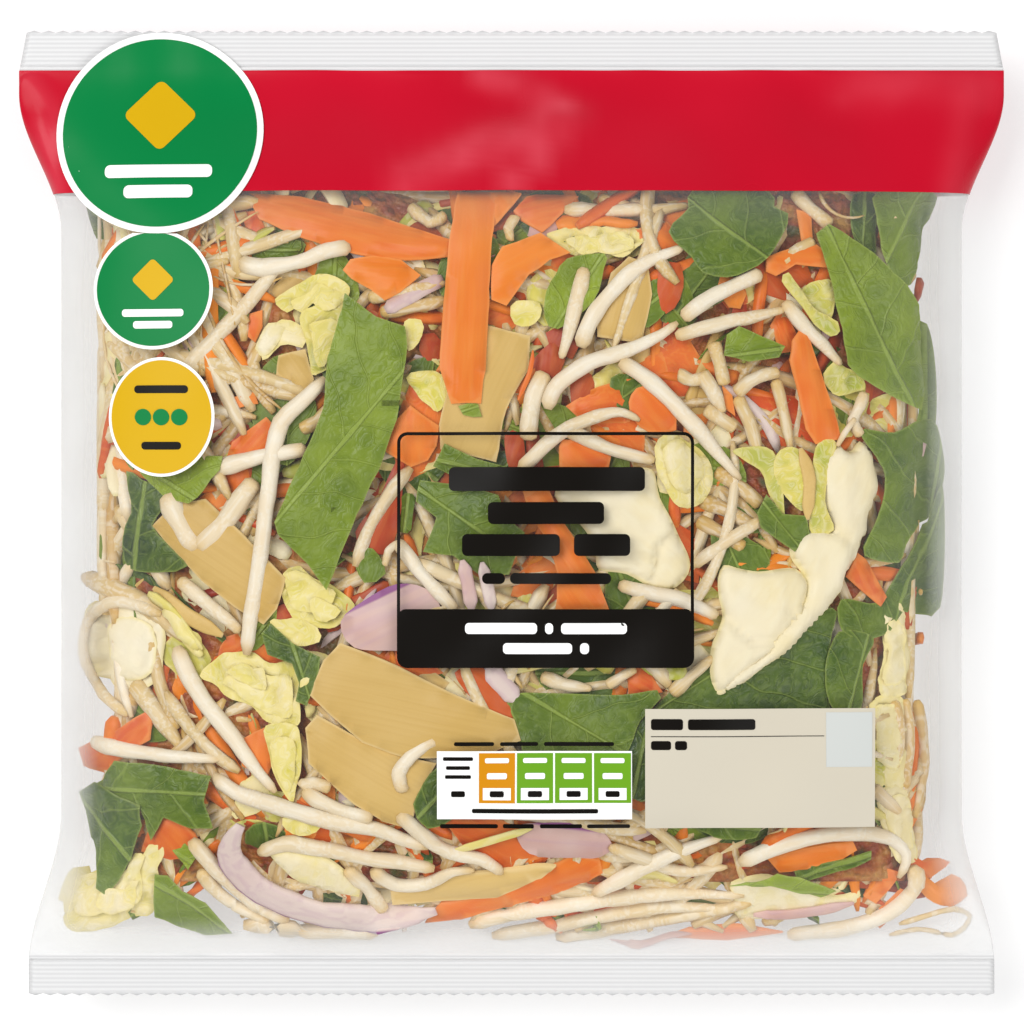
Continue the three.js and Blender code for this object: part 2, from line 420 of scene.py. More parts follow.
def filmMaterial():  # clear where it lies on the contents, milky towards the sides and seals, with painted shade in the seal's grooves
    made, tree = newMaterial("clearFilm")
    frost = attributeOf(tree, "frost")
    groove = attributeOf(tree, "groove")
    tone = mixTone(tree, ranged(tree, frost, 0.0, 0.8), colour(228, 228, 226), colour(231, 231, 231))
    # painted shade: the seal's grooves mix the film towards a darker grey
    tone = mixTone(tree, groove, tone, colour(206, 206, 207))
    rough = ranged(tree, frost, 0.0, 0.8, 0.2, 0.34)
    finishMaterial(tree, {"Base Color": tone, "Roughness": rough, "Alpha": frost,
        "Specular IOR Level": 0.15})
    return made


def printMaterial(name, tone, otherTone, clear=None):  # ink on film: a little uneven, with the film's gloss
    made, tree = newMaterial(name)
    ink = useGroup(tree, "mottle", Tone_A=tone, Tone_B=otherTone, Scale=30.0, Contrast=1.2)
    bump = addNode(tree, "Bump", {"Strength": 0.15, "Distance": 0.001, "Height": ink.outputs["Mask"]})
    rough = ranged(tree, ink.outputs["Mask"], 0.0, 1.0, 0.3, 0.42)
    inputs = {"Base Color": ink.outputs["Color"], "Roughness": rough, "Normal": bump.outputs["Normal"]}
    inputs["Specular IOR Level"] = 0.1
    if clear is not None:
        inputs["Alpha"] = ranged(tree, ink.outputs["Mask"], 0.0, 1.0, clear - 0.03, clear + 0.03)
    finishMaterial(tree, inputs)
    return made


def bandMaterial():  # the band's red, with a painted sheen: paler along the folds, darker in the hollows between
    made, tree = newMaterial("redInk")
    ink = useGroup(tree, "mottle", Tone_A=colour(182, 7, 34), Tone_B=colour(191, 9, 39), Scale=26.0,
        Contrast=1.8)
    streaks = useGroup(tree, "mottle", Scale=60.0, Contrast=3.0)
    uneven = ranged(tree, streaks.outputs["Mask"], 0.0, 1.0, 0.18, 0.42)
    # painted sheen: the fold mask, made uneven, mixes the red towards a pale pink
    paintedSheen = calculated(tree, "MULTIPLY", attributeOf(tree, "sheen"), uneven)
    tone = mixTone(tree, paintedSheen, ink.outputs["Color"], colour(226, 92, 108))
    bump = addNode(tree, "Bump", {"Strength": 0.2, "Distance": 0.001, "Height": ink.outputs["Mask"]})
    rough = ranged(tree, ink.outputs["Mask"], 0.0, 1.0, 0.26, 0.36)
    inputs = {"Base Color": tone, "Roughness": rough, "Normal": bump.outputs["Normal"],
        "Specular IOR Level": 0.12}
    finishMaterial(tree, inputs)
    return made


inks = {
    "black": printMaterial("blackInk", colour(15, 11, 7), colour(11, 8, 5)),
    "white": printMaterial("whiteInk", colour(246, 246, 244), colour(240, 240, 238)),
    "green": printMaterial("greenInk", colour(0, 124, 62), colour(0, 119, 58)),
    "yellow": printMaterial("yellowInk", colour(208, 166, 12), colour(202, 160, 12)),
    "amber": printMaterial("amberInk", colour(206, 138, 18), colour(198, 130, 14)),
    "leafGreen": printMaterial("brightGreenInk", colour(108, 160, 34), colour(98, 152, 30)),
    "cream": printMaterial("creamInk", colour(206, 199, 182), colour(201, 193, 175), clear=0.94),
    "paleBlue": printMaterial("paleBlueInk", colour(198, 200, 197), colour(192, 196, 192)),
}


def coreMaterial():  # what shows between the vegetables, deep in the bag: their colours, darkened as painted shade
    made, tree = newMaterial("deepContentsPaintedShade")
    broad = useGroup(tree, "mottle", Scale=170.0, Contrast=3.2)
    # painted shade: darkened olive, brown and orange tones for the depth between the pieces
    tones = [(0.0, pigment(96, 98, 40)), (0.3, pigment(150, 84, 38)), (0.6, pigment(176, 114, 58)),
        (1.0, pigment(196, 150, 92))]
    base = rampOf(tree, broad.outputs["Mask"], tones)
    fine = useGroup(tree, "mottle", Scale=420.0, Contrast=3.0)
    base = mixTone(tree, calculated(tree, "MULTIPLY", fine.outputs["Mask"], 0.5), base,
        pigment(164, 84, 44))
    bump = addNode(tree, "Bump", {"Strength": 0.6, "Distance": 0.002, "Height": fine.outputs["Mask"]})
    rough = ranged(tree, fine.outputs["Mask"], 0.0, 1.0, 0.45, 0.65)
    finishMaterial(tree, {"Base Color": base, "Roughness": rough, "Normal": bump.outputs["Normal"]})
    return made


def keepPiece(name, bm, materials, slot, replaced=(), sharpFrom=3.2):
    bm.normal_update()
    for edge in bm.edges:
        edge.smooth = edge.calc_face_angle(0.0) < sharpFrom
    bmesh.ops.scale(bm, vec=(0.001, 0.001, 0.001), verts=bm.verts[:])
    mesh = bpy.data.meshes.new(name)
    bm.to_mesh(mesh)
    bm.free()
    mesh.polygons.foreach_set("use_smooth", [True] * len(mesh.polygons))
    for material in materials:
        mesh.materials.append(material)
    made = bpy.data.objects.new(name, mesh)
    bpy.context.scene.collection.objects.link(made)
    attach(made, "root")
    for node in replaced:
        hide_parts(node)
    print(name, "has", sum(len(p.vertices) - 2 for p in mesh.polygons), "triangles")


def faceOutwards(bm):
    bm.normal_update()
    bmesh.ops.recalc_face_normals(bm, faces=bm.faces[:])


def uprightEdges(bm):
    return [e for e in bm.edges if abs(e.verts[0].co.z - e.verts[1].co.z) > 0.5]


# soft folds across the printed band: height, width, and the line each follows in the photograph
bandFolds = [
    (0.9, 3.4, [(484, 75), (530, 92), (566, 117)]),
    (1.1, 4.2, [(409, 184), (484, 150), (559, 126)]),
    (0.8, 3.0, [(562, 120), (543, 160), (508, 188)]),
    (0.8, 3.0, [(30, 80), (56, 116), (70, 150)]),
    (0.7, 2.6, [(40, 126), (52, 156), (60, 190)]),
    (0.5, 5.0, [(850, 88), (920, 84), (985, 92)]),
    (0.5, 3.4, [(965, 100), (958, 140), (948, 186)]),
]
bandLabel = {"place": (-81.9, 88.5), "reach": 25.0}  # the large label, which lies flat over the band


def foldHeight(x, y):  # the height that the band's folds make together
    height = 0.0
    for rise, width, line in bandFolds:
        away = min(distanceToSpan(x, y, *flatSeen(*a), *flatSeen(*b))[0] for a, b in zip(line, line[1:]))
        height += rise * math.exp(-((away / width) ** 2))
    return height


def distanceToSpan(x, y, ax, ay, bx, by):  # the distance, and which side of the span it lies
    dx, dy = bx - ax, by - ay
    t = min(1.0, max(0.0, ((x - ax) * dx + (y - ay) * dy) / (dx * dx + dy * dy + 1e-9)))
    return math.hypot(x - ax - t * dx, y - ay - t * dy), dx * (y - ay) - dy * (x - ax)


def creaseAt(x, y):  # fine folds in the film, where it doesn't lie tight on the contents
    side = smooth(abs(x) / halfWidthAt(y), 0.84, 0.97)
    end = max(smooth(y, -84, -100), smooth(y, 78, 96))
    loose = max(side, end)
    if end >= side:
        folds = noise.noise(Vector((x / 7, y / 26, 1.7)))
    else:
        folds = noise.noise(Vector((x / 16, y / 9, 5.2)))
    fold = 0.0
    if y > 70:
        offLabel = smooth(math.dist((x, y), bandLabel["place"]), bandLabel["reach"], bandLabel["reach"] + 3)
        fold = foldHeight(x, y) * smooth(y, 70, 76) * smooth(y, 106, 100) * offLabel
    return 0.5 * loose * folds + fold


# The filled part: a cylinder whose rings are pressed into the bag's sections, inset by so many millimetres.
def pillow(segments, rows, sideGap, topGap, bottomGap, reach):
    bm = bmesh.new()
    bmesh.ops.create_cone(bm, cap_ends=True, segments=segments, radius1=1, radius2=1, depth=2)
    bmesh.ops.subdivide_edges(bm, edges=uprightEdges(bm), cuts=rows - 1, use_grid_fill=True)
    for vert in bm.verts:
        y = reach * math.sin(math.pi / 2 * vert.co.z)
        angle = math.atan2(vert.co.y, -vert.co.x)
        cosine = math.cos(angle)
        spread = math.copysign(abs(cosine) ** (2 / bag["frontPower"]), cosine)
        x = halfWidthAt(y) * spread
        if abs(math.sin(angle)) < 1e-5:
            z = bag["sealHeight"]
        elif angle > 0:
            z = frontAt(x, y) - topGap * sectionShare(spread, 2)
        else:
            z = backAt(x, y) + bottomGap
        vert.co = (x * (1 - sideGap / halfWidthAt(y)), y, z)
    faceOutwards(bm)
    return bm


film = {"segments": 176, "rows": 120, "clear": 0.022, "side": 0.5, "end": 0.6, "back": 0.06, "seal": 0.8}


def frostAt(x, y, z):
    across = abs(x) / halfWidthAt(y)
    side = max(smooth(across, 0.89, 0.98), 0.09 * smooth(across, 0.72, 0.88))
    end = max(0.85 * smooth(y, -92, -103), 0.12 * smooth(y, 58, 74), smooth(y, 74, 80),
        0.1 * smooth(y, -80, -92))
    middle = film["back"] if z < bag["sealHeight"] else film["clear"]
    return mixed(mixed(middle, film["side"], side), film["end"], end)


sealRibs = {"count": 9, "height": 0.42, "toothPitch": 3.4, "toothDepth": 0.5}


def facesOf(verts):
    return list({f for v in verts for f in v.link_faces})


def crimpedSeal(bm, side):  # a strip ribbed across the bag, with a saw-cut outer edge
    ribs, toothPitch = sealRibs["count"], sealRibs["toothPitch"]
    toothDepth, ribHeight = sealRibs["toothDepth"], sealRibs["height"]
    inner = side * (bag["halfLength"] - bag["sealDepth"] - 0.6)
    outer = side * bag["halfLength"]
    teeth = round(2 * halfWidthAt(outer) / toothPitch)
    made = bmesh.ops.create_grid(bm, x_segments=2 * teeth, y_segments=2 * ribs, size=1)["verts"]
    for vert in made:
        across, up = vert.co.x, (vert.co.y + 1) / 2
        row, column = round(up * 2 * ribs), round((across + 1) * teeth)
        y = mixed(inner, outer - side * toothDepth, up)
        if row == 2 * ribs and column % 2:
            y = outer
        wave = 0.5 * math.sin(across * 9 + side) + 0.35 * math.sin(across * 23 + 2)
        rib = ribHeight * (1 if row % 2 else -1) * (row < 2 * ribs)
        vert.co = (across * halfWidthAt(y), y, bag["sealHeight"] - 0.35 + 0.25 * wave * up + rib * 0.5)
    bmesh.ops.solidify(bm, geom=facesOf(made) + made, thickness=0.5)


def buildFilm():
    bm = pillow(film["segments"], film["rows"], 0, 0, 0, bag["topTaper"][0])
    caps = [f for f in bm.faces if len(f.verts) > 4]
    bmesh.ops.delete(bm, geom=caps, context="FACES_ONLY")
    for vert in bm.verts:
        if vert.co.z > bag["sealHeight"] + 0.5:
            vert.co.z += creaseAt(vert.co.x, vert.co.y)
    band = bm.copy()
    frost = bm.verts.layers.float.new("frost")
    groove = bm.verts.layers.float.new("groove")
    for side in (1, -1):
        crimpedSeal(bm, side)
    seam = {"halfWidth": 6.0, "end": 100.0, "steps": 60, "frost": 0.04}  # down the back, folded flat
    inSeam = bm.verts.layers.float.new("inSeam")
    made = bmesh.ops.create_grid(bm, x_segments=4, y_segments=seam["steps"], size=1)["verts"]
    for vert in made:
        x, y = vert.co.x * seam["halfWidth"], vert.co.y * seam["end"]
        vert.co = (x, y, backAt(x, y) - 0.2)
        vert[inSeam] = 1.0
    bmesh.ops.solidify(bm, geom=facesOf(made) + made, thickness=0.2)
    for vert in bm.verts:
        x, y, z = vert.co
        cloud = 1 + 0.16 * noise.noise(Vector((x / 14, y / 14, z / 14)))
        vert[frost] = frostAt(x, y, z) * cloud
        inSeal = abs(y) - (bag["halfLength"] - bag["sealDepth"] - 0.7)
        if inSeal > 0:
            vert[frost] = film["seal"]
            # painted shade: every other row of the seal's ribs is marked for a darker grey
            vert[groove] = 0.75 * (round(inSeal / bag["sealDepth"] * 2 * sealRibs["count"]) % 2)
        if vert[inSeam] > 0.5:
            vert[frost] = seam["frost"]
    keepPiece("bag_film", bm, [filmMaterial()], "film", ["filled_bag"])
    return band


def allOf(bm):
    return bm.verts[:] + bm.edges[:] + bm.faces[:]


# Cuts a flat shape into cells, so that it can follow the film.
def cutInCells(bm, cell):
    low = [min(v.co[a] for v in bm.verts) for a in (0, 1)]
    high = [max(v.co[a] for v in bm.verts) for a in (0, 1)]
    for axis in (0, 1):
        across = Vector((1, 0, 0)) if axis == 0 else Vector((0, 1, 0))
        for cut in range(math.ceil(low[axis] / cell), math.floor(high[axis] / cell) + 1):
            bmesh.ops.bisect_plane(bm, geom=allOf(bm), dist=1e-4, plane_co=across * (cut * cell),
                plane_no=across)


def buildBand(bm):  # the broad printed band round the top of the bag
    edges = {"low": 74.6, "high": 103.6}
    up = Vector((0, 1, 0))
    bmesh.ops.bisect_plane(bm, geom=allOf(bm), dist=1e-4, plane_co=up * edges["low"], plane_no=up,
        clear_inner=True)
    bmesh.ops.bisect_plane(bm, geom=allOf(bm), dist=1e-4, plane_co=up * edges["high"], plane_no=up,
        clear_outer=True)
    bm.normal_update()
    for vert in bm.verts:
        vert.co += vert.normal * 0.14
    bmesh.ops.solidify(bm, geom=allOf(bm), thickness=0.08)
    # painted sheen: the folds' height, kept for the band's material
    sheen = bm.verts.layers.float.new("sheen")
    for vert in bm.verts:
        vert[sheen] = min(1.0, foldHeight(vert.co.x, vert.co.y)) if vert.co.z > bag["sealHeight"] else 0.0
    keepPiece("printed_band", bm, [bandMaterial()], "print", sharpFrom=1.2)


# Printed fields are flat shapes in the plane, laid on the film one above the other.
def layOnFilm(bm, lift):
    for vert in bm.verts:
        x, y = vert.co.x, vert.co.y
        onFilm = Vector((x, y, frontAt(x, y) + creaseAt(x, y)))
        vert.co = onFilm + normalOf(frontAt, x, y) * (lift + vert.co.z)


class Printed:  # one piece of print, of several fields and inks
    def __init__(self, name, slot, inkNames, replaced=()):
        self.name, self.slot, self.inkNames, self.replaced = name, slot, inkNames, replaced
        self.bm = bmesh.new()

    def add(self, shape, ink, lift, thickness=0.05, cell=3.0):
        cutInCells(shape, cell)
        grown = bmesh.ops.extrude_face_region(shape, geom=shape.faces[:])["geom"]
        for vert in (g for g in grown if isinstance(g, bmesh.types.BMVert)):
            vert.co.z += thickness
        faceOutwards(shape)
        layOnFilm(shape, lift)
        for face in shape.faces:
            face.material_index = self.inkNames.index(ink)
        flat = bpy.data.meshes.new("field")
        shape.to_mesh(flat)
        shape.free()
        self.bm.from_mesh(flat)
        bpy.data.meshes.remove(flat)

    def keep(self):
        keepPiece(self.name, self.bm, [inks[ink] for ink in self.inkNames], self.slot, self.replaced,
            sharpFrom=0.8)


def rectangle(left, low, right, high, corner=0.0):
    bm = bmesh.new()
    corners = ((left, low), (right, low), (right, high), (left, high))
    bm.faces.new([bm.verts.new((x, y, 0)) for x, y in corners])
    if corner > 0:
        bmesh.ops.bevel(bm, geom=bm.verts[:], offset=corner, segments=6, profile=0.5, affect="VERTICES",
            material=-1)
    return bm


def outlineOnly(bm, width):
    inner = bm.faces[:]
    bmesh.ops.inset_region(bm, faces=inner, thickness=width, use_boundary=True, use_even_offset=True)
    bmesh.ops.delete(bm, geom=inner, context="FACES_ONLY")
    return bm


def disc(x, y, halfX, halfY, segments=96):
    bm = bmesh.new()
    bmesh.ops.create_circle(bm, cap_ends=True, segments=segments, radius=1)
    bmesh.ops.scale(bm, vec=(halfX, halfY, 1), verts=bm.verts[:])
    bmesh.ops.translate(bm, vec=(x, y, 0), verts=bm.verts[:])
    return bm


def fieldSeen(left, top, right, bottom, corner=0.0):  # a rectangle between two pixels of the photograph
    x0, y0 = seenAt(left, bottom)
    x1, y1 = seenAt(right, top)
    return rectangle(x0, y0, x1, y1, corner)


def buildTitle():
    title = Printed("title_print", "print", ["black", "white"])
    title.add(outlineOnly(fieldSeen(397, 432, 694, 668, 2.4), 0.75), "black", 0.12)
    title.add(fieldSeen(398, 609, 693, 667, 1.8), "black", 0.14)
    bars = [(449, 467, 645, 491), (488, 502, 604, 524), (462, 534, 560, 556), (574, 534, 630, 556),
        (482, 573, 505, 584), (510, 573, 611, 584)]
    footBars = [(465, 623, 537, 634), (545, 623, 553, 634), (561, 623, 627, 634), (503, 643, 572, 654),
        (580, 643, 589, 654)]
    for corners in bars:
        title.add(fieldSeen(*corners, 1.2), "black", 0.12)
    for corners in footBars:
        title.add(fieldSeen(*corners, 0.9), "white", 0.2)
    title.keep()


def buildFacts():
    facts = Printed("facts_print", "print", ["white", "black", "amber", "leafGreen"])
    facts.add(fieldSeen(437, 751, 632, 819), "white", 0.12)
    cells = [(479, 515, "amber"), (517, 553, "leafGreen"), (555, 592, "leafGreen"), (594, 631, "leafGreen")]
    facts.add(outlineOnly(fieldSeen(442, 787, 474, 801), 0.3), "black", 0.2)
    for row, (left, right) in enumerate(((443, 473), (446, 470), (445, 471))):
        top = 757 + 9 * row
        facts.add(fieldSeen(left, top, right, top + 3.6, 0.3), "black", 0.2)
    for left, right, ink in cells:
        middle = (left + right) / 2
        facts.add(fieldSeen(left, 753, right, 803), ink, 0.2)
        facts.add(fieldSeen(middle - 14, 788, middle + 14, 800), "white", 0.28)
        facts.add(fieldSeen(middle - 12, 758, middle + 12, 763, 0.4), "white", 0.28)
        facts.add(fieldSeen(middle - 10, 773, middle + 10, 779, 0.4), "white", 0.28)
        facts.add(fieldSeen(middle - 7, 791, middle + 7, 797, 0.4), "black", 0.36)
    facts.add(fieldSeen(451, 791, 465, 797, 0.4), "black", 0.2)
    facts.add(fieldSeen(472, 809, 598, 813, 0.4), "black", 0.2)
    smallPrint = {
        742: ((454, 494), (500, 538), (544, 614)),
        824: ((440, 498), (503, 534), (540, 582), (587, 630)),
    }
    for top, bars in smallPrint.items():
        for left, right in bars:
            facts.add(fieldSeen(left, top, right, top + 4, 0.4), "black", 0.12)
    facts.keep()


def buildDatePanel():
    panel = Printed("date_print", "print", ["cream", "paleBlue", "black"])
    panel.add(fieldSeen(645, 708, 875, 828), "cream", 0.12)
    panel.add(fieldSeen(826, 712, 872, 767), "paleBlue", 0.2)
    for corners in ((651, 719, 683, 730), (688, 719, 755, 730), (651, 741, 671, 750), (675, 741, 687, 750)):
        panel.add(fieldSeen(*corners, 0.6), "black", 0.2)
    panel.add(fieldSeen(651, 735.5, 824, 737), "black", 0.2)
    panel.keep()


roundLabels = {
    "label_large": {"node": "round_label_large", "slot": "label_green", "place": (-81.9, 88.5),
        "half": (24.2, 23.9), "rim": 1.5, "ink": "green"},
    "label_small": {"node": "round_label_small", "slot": "label_green", "place": (-82.8, 51.7),
        "half": (13.9, 13.9), "rim": 0.8, "ink": "green"},
    "label_yellow": {"node": "round_label_yellow", "slot": "label_yellow", "place": (-80.8, 22.2),
        "half": (12.3, 13.8), "rim": 0.7, "ink": "yellow"},
}


def cutUnderLarge(bm, x, y):  # the large label overlaps the small one
    large = roundLabels["label_large"]
    up = Vector(large["place"]) - Vector((x, y))
    cut = Vector((x, y)) + up.normalized() * (up.length - large["half"][1])
    plane = {"plane_co": (cut.x, cut.y, 0), "plane_no": (up.x, up.y, 0)}
    bmesh.ops.bisect_plane(bm, geom=allOf(bm), dist=1e-4, clear_outer=True, **plane)


def buildRoundLabels():
    markLift = {"lift": 0.78, "thickness": 0.04}
    for name, look in roundLabels.items():
        x, y = look["place"]
        halfX, halfY = look["half"]
        markInk = "green" if look["ink"] == "yellow" else "yellow"
        label = Printed(name, look["slot"], ["white", look["ink"], markInk, "black"], [look["node"]])
        base = disc(x, y, halfX, halfY)
        face = disc(x, y, halfX - look["rim"], halfY - look["rim"])
        if name == "label_small":
            cutUnderLarge(base, x, y)
            cutUnderLarge(face, x, y)
        label.add(base, "white", 0.36, thickness=0.24)
        label.add(face, look["ink"], 0.68, thickness=0.04)
        unit = halfX / roundLabels["label_large"]["half"][0]
        if look["ink"] == "green":  # a plain lozenge over two bars
            lozenge = rectangle(-6.2 * unit, -6.2 * unit, 6.2 * unit, 6.2 * unit, 1.6 * unit)
            quarter = Matrix.Rotation(math.pi / 4, 3, "Z")
            bmesh.ops.rotate(lozenge, cent=(0, 0, 0), matrix=quarter, verts=lozenge.verts[:])
            bmesh.ops.translate(lozenge, vec=(x, y + 4.0 * unit, 0), verts=lozenge.verts[:])
            label.add(lozenge, "yellow", **markLift)
            for half, below in ((12.5, 9.4), (8.0, 14.2)):
                top = y - below * unit
                bar = rectangle(x - half * unit, top - 1.5 * unit, x + half * unit, top + 1.5 * unit,
                    1.2 * unit)
                label.add(bar, "white", **markLift)
        else:  # a row of dots between two bars
            for offset in (-4.2, 0, 4.2):
                label.add(disc(x + offset, y, 1.9, 1.9, 32), "green", **markLift)
            for top, half in ((6.4, 6.2), (-6.6, 4.6)):
                label.add(rectangle(x - half, y + top - 0.9, x + half, y + top + 0.9, 0.8), "black",
                    **markLift)
        label.keep()


# the space that the vegetables fill, in from the film
fill = {"sideGap": 8.5, "endGap": 4.0, "top": 0.7, "bottom": 0.7, "yScale": 1.015, "from": -99.0,
    "upTo": 82.0}


def contentsGap(y):
    return mixed(fill["sideGap"], fill["endGap"], smooth(y, -74, -94))


def contentsTop(x, y):
    across = x / (halfWidthAt(y) - contentsGap(y))
    fullness = fullnessAt(y * fill["yScale"])
    rise = bag["frontRise"] * archAt(y) * fullness * sectionShare(across, bag["frontPower"])
    relief = reliefAt(x, y, fullness) * sectionShare(across, 2)
    return bag["sealHeight"] + rise + relief - fill["top"]


def contentsBottom(x, y):
    across = x / (halfWidthAt(y) - contentsGap(y))
    drop = bag["backDrop"] * fullnessAt(y * fill["yScale"]) * sectionShare(across, bag["backPower"])
    return max(bag["backHeight"], bag["sealHeight"] - drop) + fill["bottom"]


def settled(point, radius, under=0.0):  # moved to lie inside the film, and at least so far under the top
    y = min(fill["upTo"], max(fill["from"] + radius * 0.6, point.y))
    widest = halfWidthAt(y) - contentsGap(y) - radius
    x = min(widest, max(-widest, point.x))
    top, bottom = contentsTop(x, y) - under - radius, contentsBottom(x, y) + radius
    if top < bottom:
        top = bottom = (contentsTop(x, y) + contentsBottom(x, y)) / 2
    return Vector((x, y, min(top, max(bottom, point.z))))


def roomAt(x, y):  # how deep the contents are here
    return contentsTop(x, y) - contentsBottom(x, y)


overBag = 99.0  # where settled() starts from when a piece comes down to the top of the contents
taken = set()  # cells that pieces placed near the top already cover
cellSize = 2.5


def cellOf(x, y):
    return round(x / cellSize), round(y / cellSize)


def isOpen(line):  # hardly any of the line lies under what is placed
    return sum(cellOf(p.x, p.y) in taken for p in line) <= 0.1 * len(line)


layerNames = ("along", "across", "edge", "tint")


def addLayers(bm):
    for name in layerNames:
        if name not in bm.verts.layers.float:
            bm.verts.layers.float.new(name)
    return [bm.verts.layers.float[name] for name in layerNames]


class Heap:  # many pieces of one kind, joined
    def __init__(self):
        self.bm = bmesh.new()
        addLayers(self.bm)

    def add(self, piece):
        one = bpy.data.meshes.new("one")
        piece.to_mesh(one)
        piece.free()
        self.bm.from_mesh(one)
        bpy.data.meshes.remove(one)


heaps = {kind: Heap() for kind in looks}


def rounded(points, step, closed=False):  # a smooth line through the points, in even steps
    count = len(points)
    last = count if closed else count - 1
    line = []
    for i in range(last):
        if closed:
            p = [points[(i + k) % count] for k in (-1, 0, 1, 2)]
        else:
            p = [points[min(max(i + k, 0), count - 1)] for k in (-1, 0, 1, 2)]
        length = (p[2] - p[1]).length
        parts = max(1, round(length / step))
        for j in range(parts):
            t = j / parts
            line.append(
                0.5 * (2 * p[1] + (p[2] - p[0]) * t + (2 * p[0] - 5 * p[1] + 4 * p[2] - p[3]) * t * t
                       + (3 * p[1] - p[0] - 3 * p[2] + p[3]) * t ** 3)
            )
    if not closed:
        line.append(points[-1].copy())
    return line


def unitTube(sides, rings):
    bm = bmesh.new()
    bmesh.ops.create_cone(bm, cap_ends=True, segments=sides, radius1=1, radius2=1, depth=rings)
    bmesh.ops.subdivide_edges(bm, edges=uprightEdges(bm), cuts=rings - 1, use_grid_fill=True)
    bmesh.ops.translate(bm, vec=(0, 0, rings / 2), verts=bm.verts[:])
    addLayers(bm)
    mesh = bpy.data.meshes.new("unitTube")
    bm.to_mesh(mesh)
    bm.free()
    return mesh


tubes = {}


# A stem, stick or strip along a line. widthAt gives its half width from 0 at one end to 1 at the other.
def addStrand(kind, line, widthAt, flat=1.0, square=1.0, tint=0.5, sides=8, rings=20, roll=0.0, twist=0.0):
    if (sides, rings) not in tubes:
        tubes[sides, rings] = unitTube(sides, rings)
    bm = bmesh.new()
    bm.from_mesh(tubes[sides, rings])
    along, across, edge, tintLayer = addLayers(bm)
    lengths = [0.0]
    for a, b in zip(line, line[1:]):
        lengths.append(lengths[-1] + (b - a).length)
    total = lengths[-1]
    frames = []
    spot = 0
    for ring in range(rings + 1):
        t = ring / rings
        target = t * total
        while spot < len(line) - 2 and lengths[spot + 1] < target:
            spot += 1
        part = share(target, lengths[spot], lengths[spot + 1] + 1e-6)
        centre = line[spot].lerp(line[spot + 1], part)
        ahead = line[min(spot + 2, len(line) - 1)] - line[max(spot - 1, 0)]
        forward = ahead.normalized()
        if centre.z > bag["sealHeight"] + 3:
            outward = normalOf(contentsTop, centre.x, centre.y)
        else:
            outward = Vector((centre.x * 0.35, 0, centre.z - bag["sealHeight"])).normalized()
        side = forward.cross(outward)
        side = side.normalized() if side.length > 0.1 else forward.orthogonal().normalized()
        up = side.cross(forward)
        turn = Matrix.Rotation(roll + twist * t, 3, forward)
        frames.append((centre, turn @ side, turn @ up, widthAt(t), t))
    for vert in bm.verts:
        centre, side, up, width, t = frames[round(vert.co.z)]
        u, v = vert.co.x, vert.co.y
        u = math.copysign(abs(u) ** square, u)
        v = math.copysign(abs(v) ** square, v)
        width *= 1 + 0.16 * noise.noise(centre * 0.22 + side * u * 0.6 + Vector((tint * 40, 0, 0)))
        vert.co = centre + side * (u * width) + up * (v * width * flat)
        vert.co.z = max(vert.co.z, backAt(vert.co.x, vert.co.y) + 0.5)
        vert[along] = t * total
        vert[across] = u * width
        vert[edge] = min(t, 1 - t) * total
        vert[tintLayer] = tint + 0.22 * noise.noise(centre * 0.12 + Vector((0, 0, tint * 30)))
    faceOutwards(bm)
    heaps[kind].add(bm)


def lineSeen(points, under, step=2.5):  # from pixels, so many millimetres under the contents' top
    flat = [Vector(seenAt(*p)).to_3d() for p in points]
    line = rounded(flat, step)
    for p in line:
        p.z = contentsTop(p.x, p.y) - under
        if under < 3:
            taken.add(cellOf(p.x, p.y))
    return line


def distanceToRim(x, y, rim):
    spans = zip(rim, rim[1:] + rim[:1])
    return min(distanceToSpan(x, y, *start, *end)[0] for start, end in spans)


def creaseDepth(x, y, creases):  # a groove, with a lip along its left
    depth = 0.0
    for groove, width, line in creases:
        spans = [distanceToSpan(x, y, a.x, a.y, b.x, b.y) for a, b in zip(line, line[1:])]
        away, side = min(spans, key=lambda span: span[0])
        depth += groove * math.exp(-((away / width) ** 2))
        if side > 0:
            depth -= 0.7 * groove * math.exp(-(((away - 1.6 * width) / (1.8 * width)) ** 2))
    return depth


def blisterAt(x, y, seed):  # puckered between a net of fine veins, from 0 on the net to 1
    near = noise.voronoi(Vector((x / 5.2, y / 5.2, seed)))[0]
    return min(1.0, (near[1] - near[0]) * 2.2)


def foldAt(u, v, seed):  # from 0 in the hollows to 1 along the sharp folds of a crumpled sheet
    turned = noise.noise(Vector((u * 0.5, v * 0.5, seed + 31))) * 1.4
    broad = 1 - 2.2 * abs(noise.noise(Vector((u + turned, v - turned, seed + 3.1))))
    fine = 1 - 2.2 * abs(noise.noise(Vector((2.3 * u - turned, 2.3 * v + turned, seed + 7.7))))
    return min(1.0, max(0.0, 0.68 * broad + 0.32 * fine))


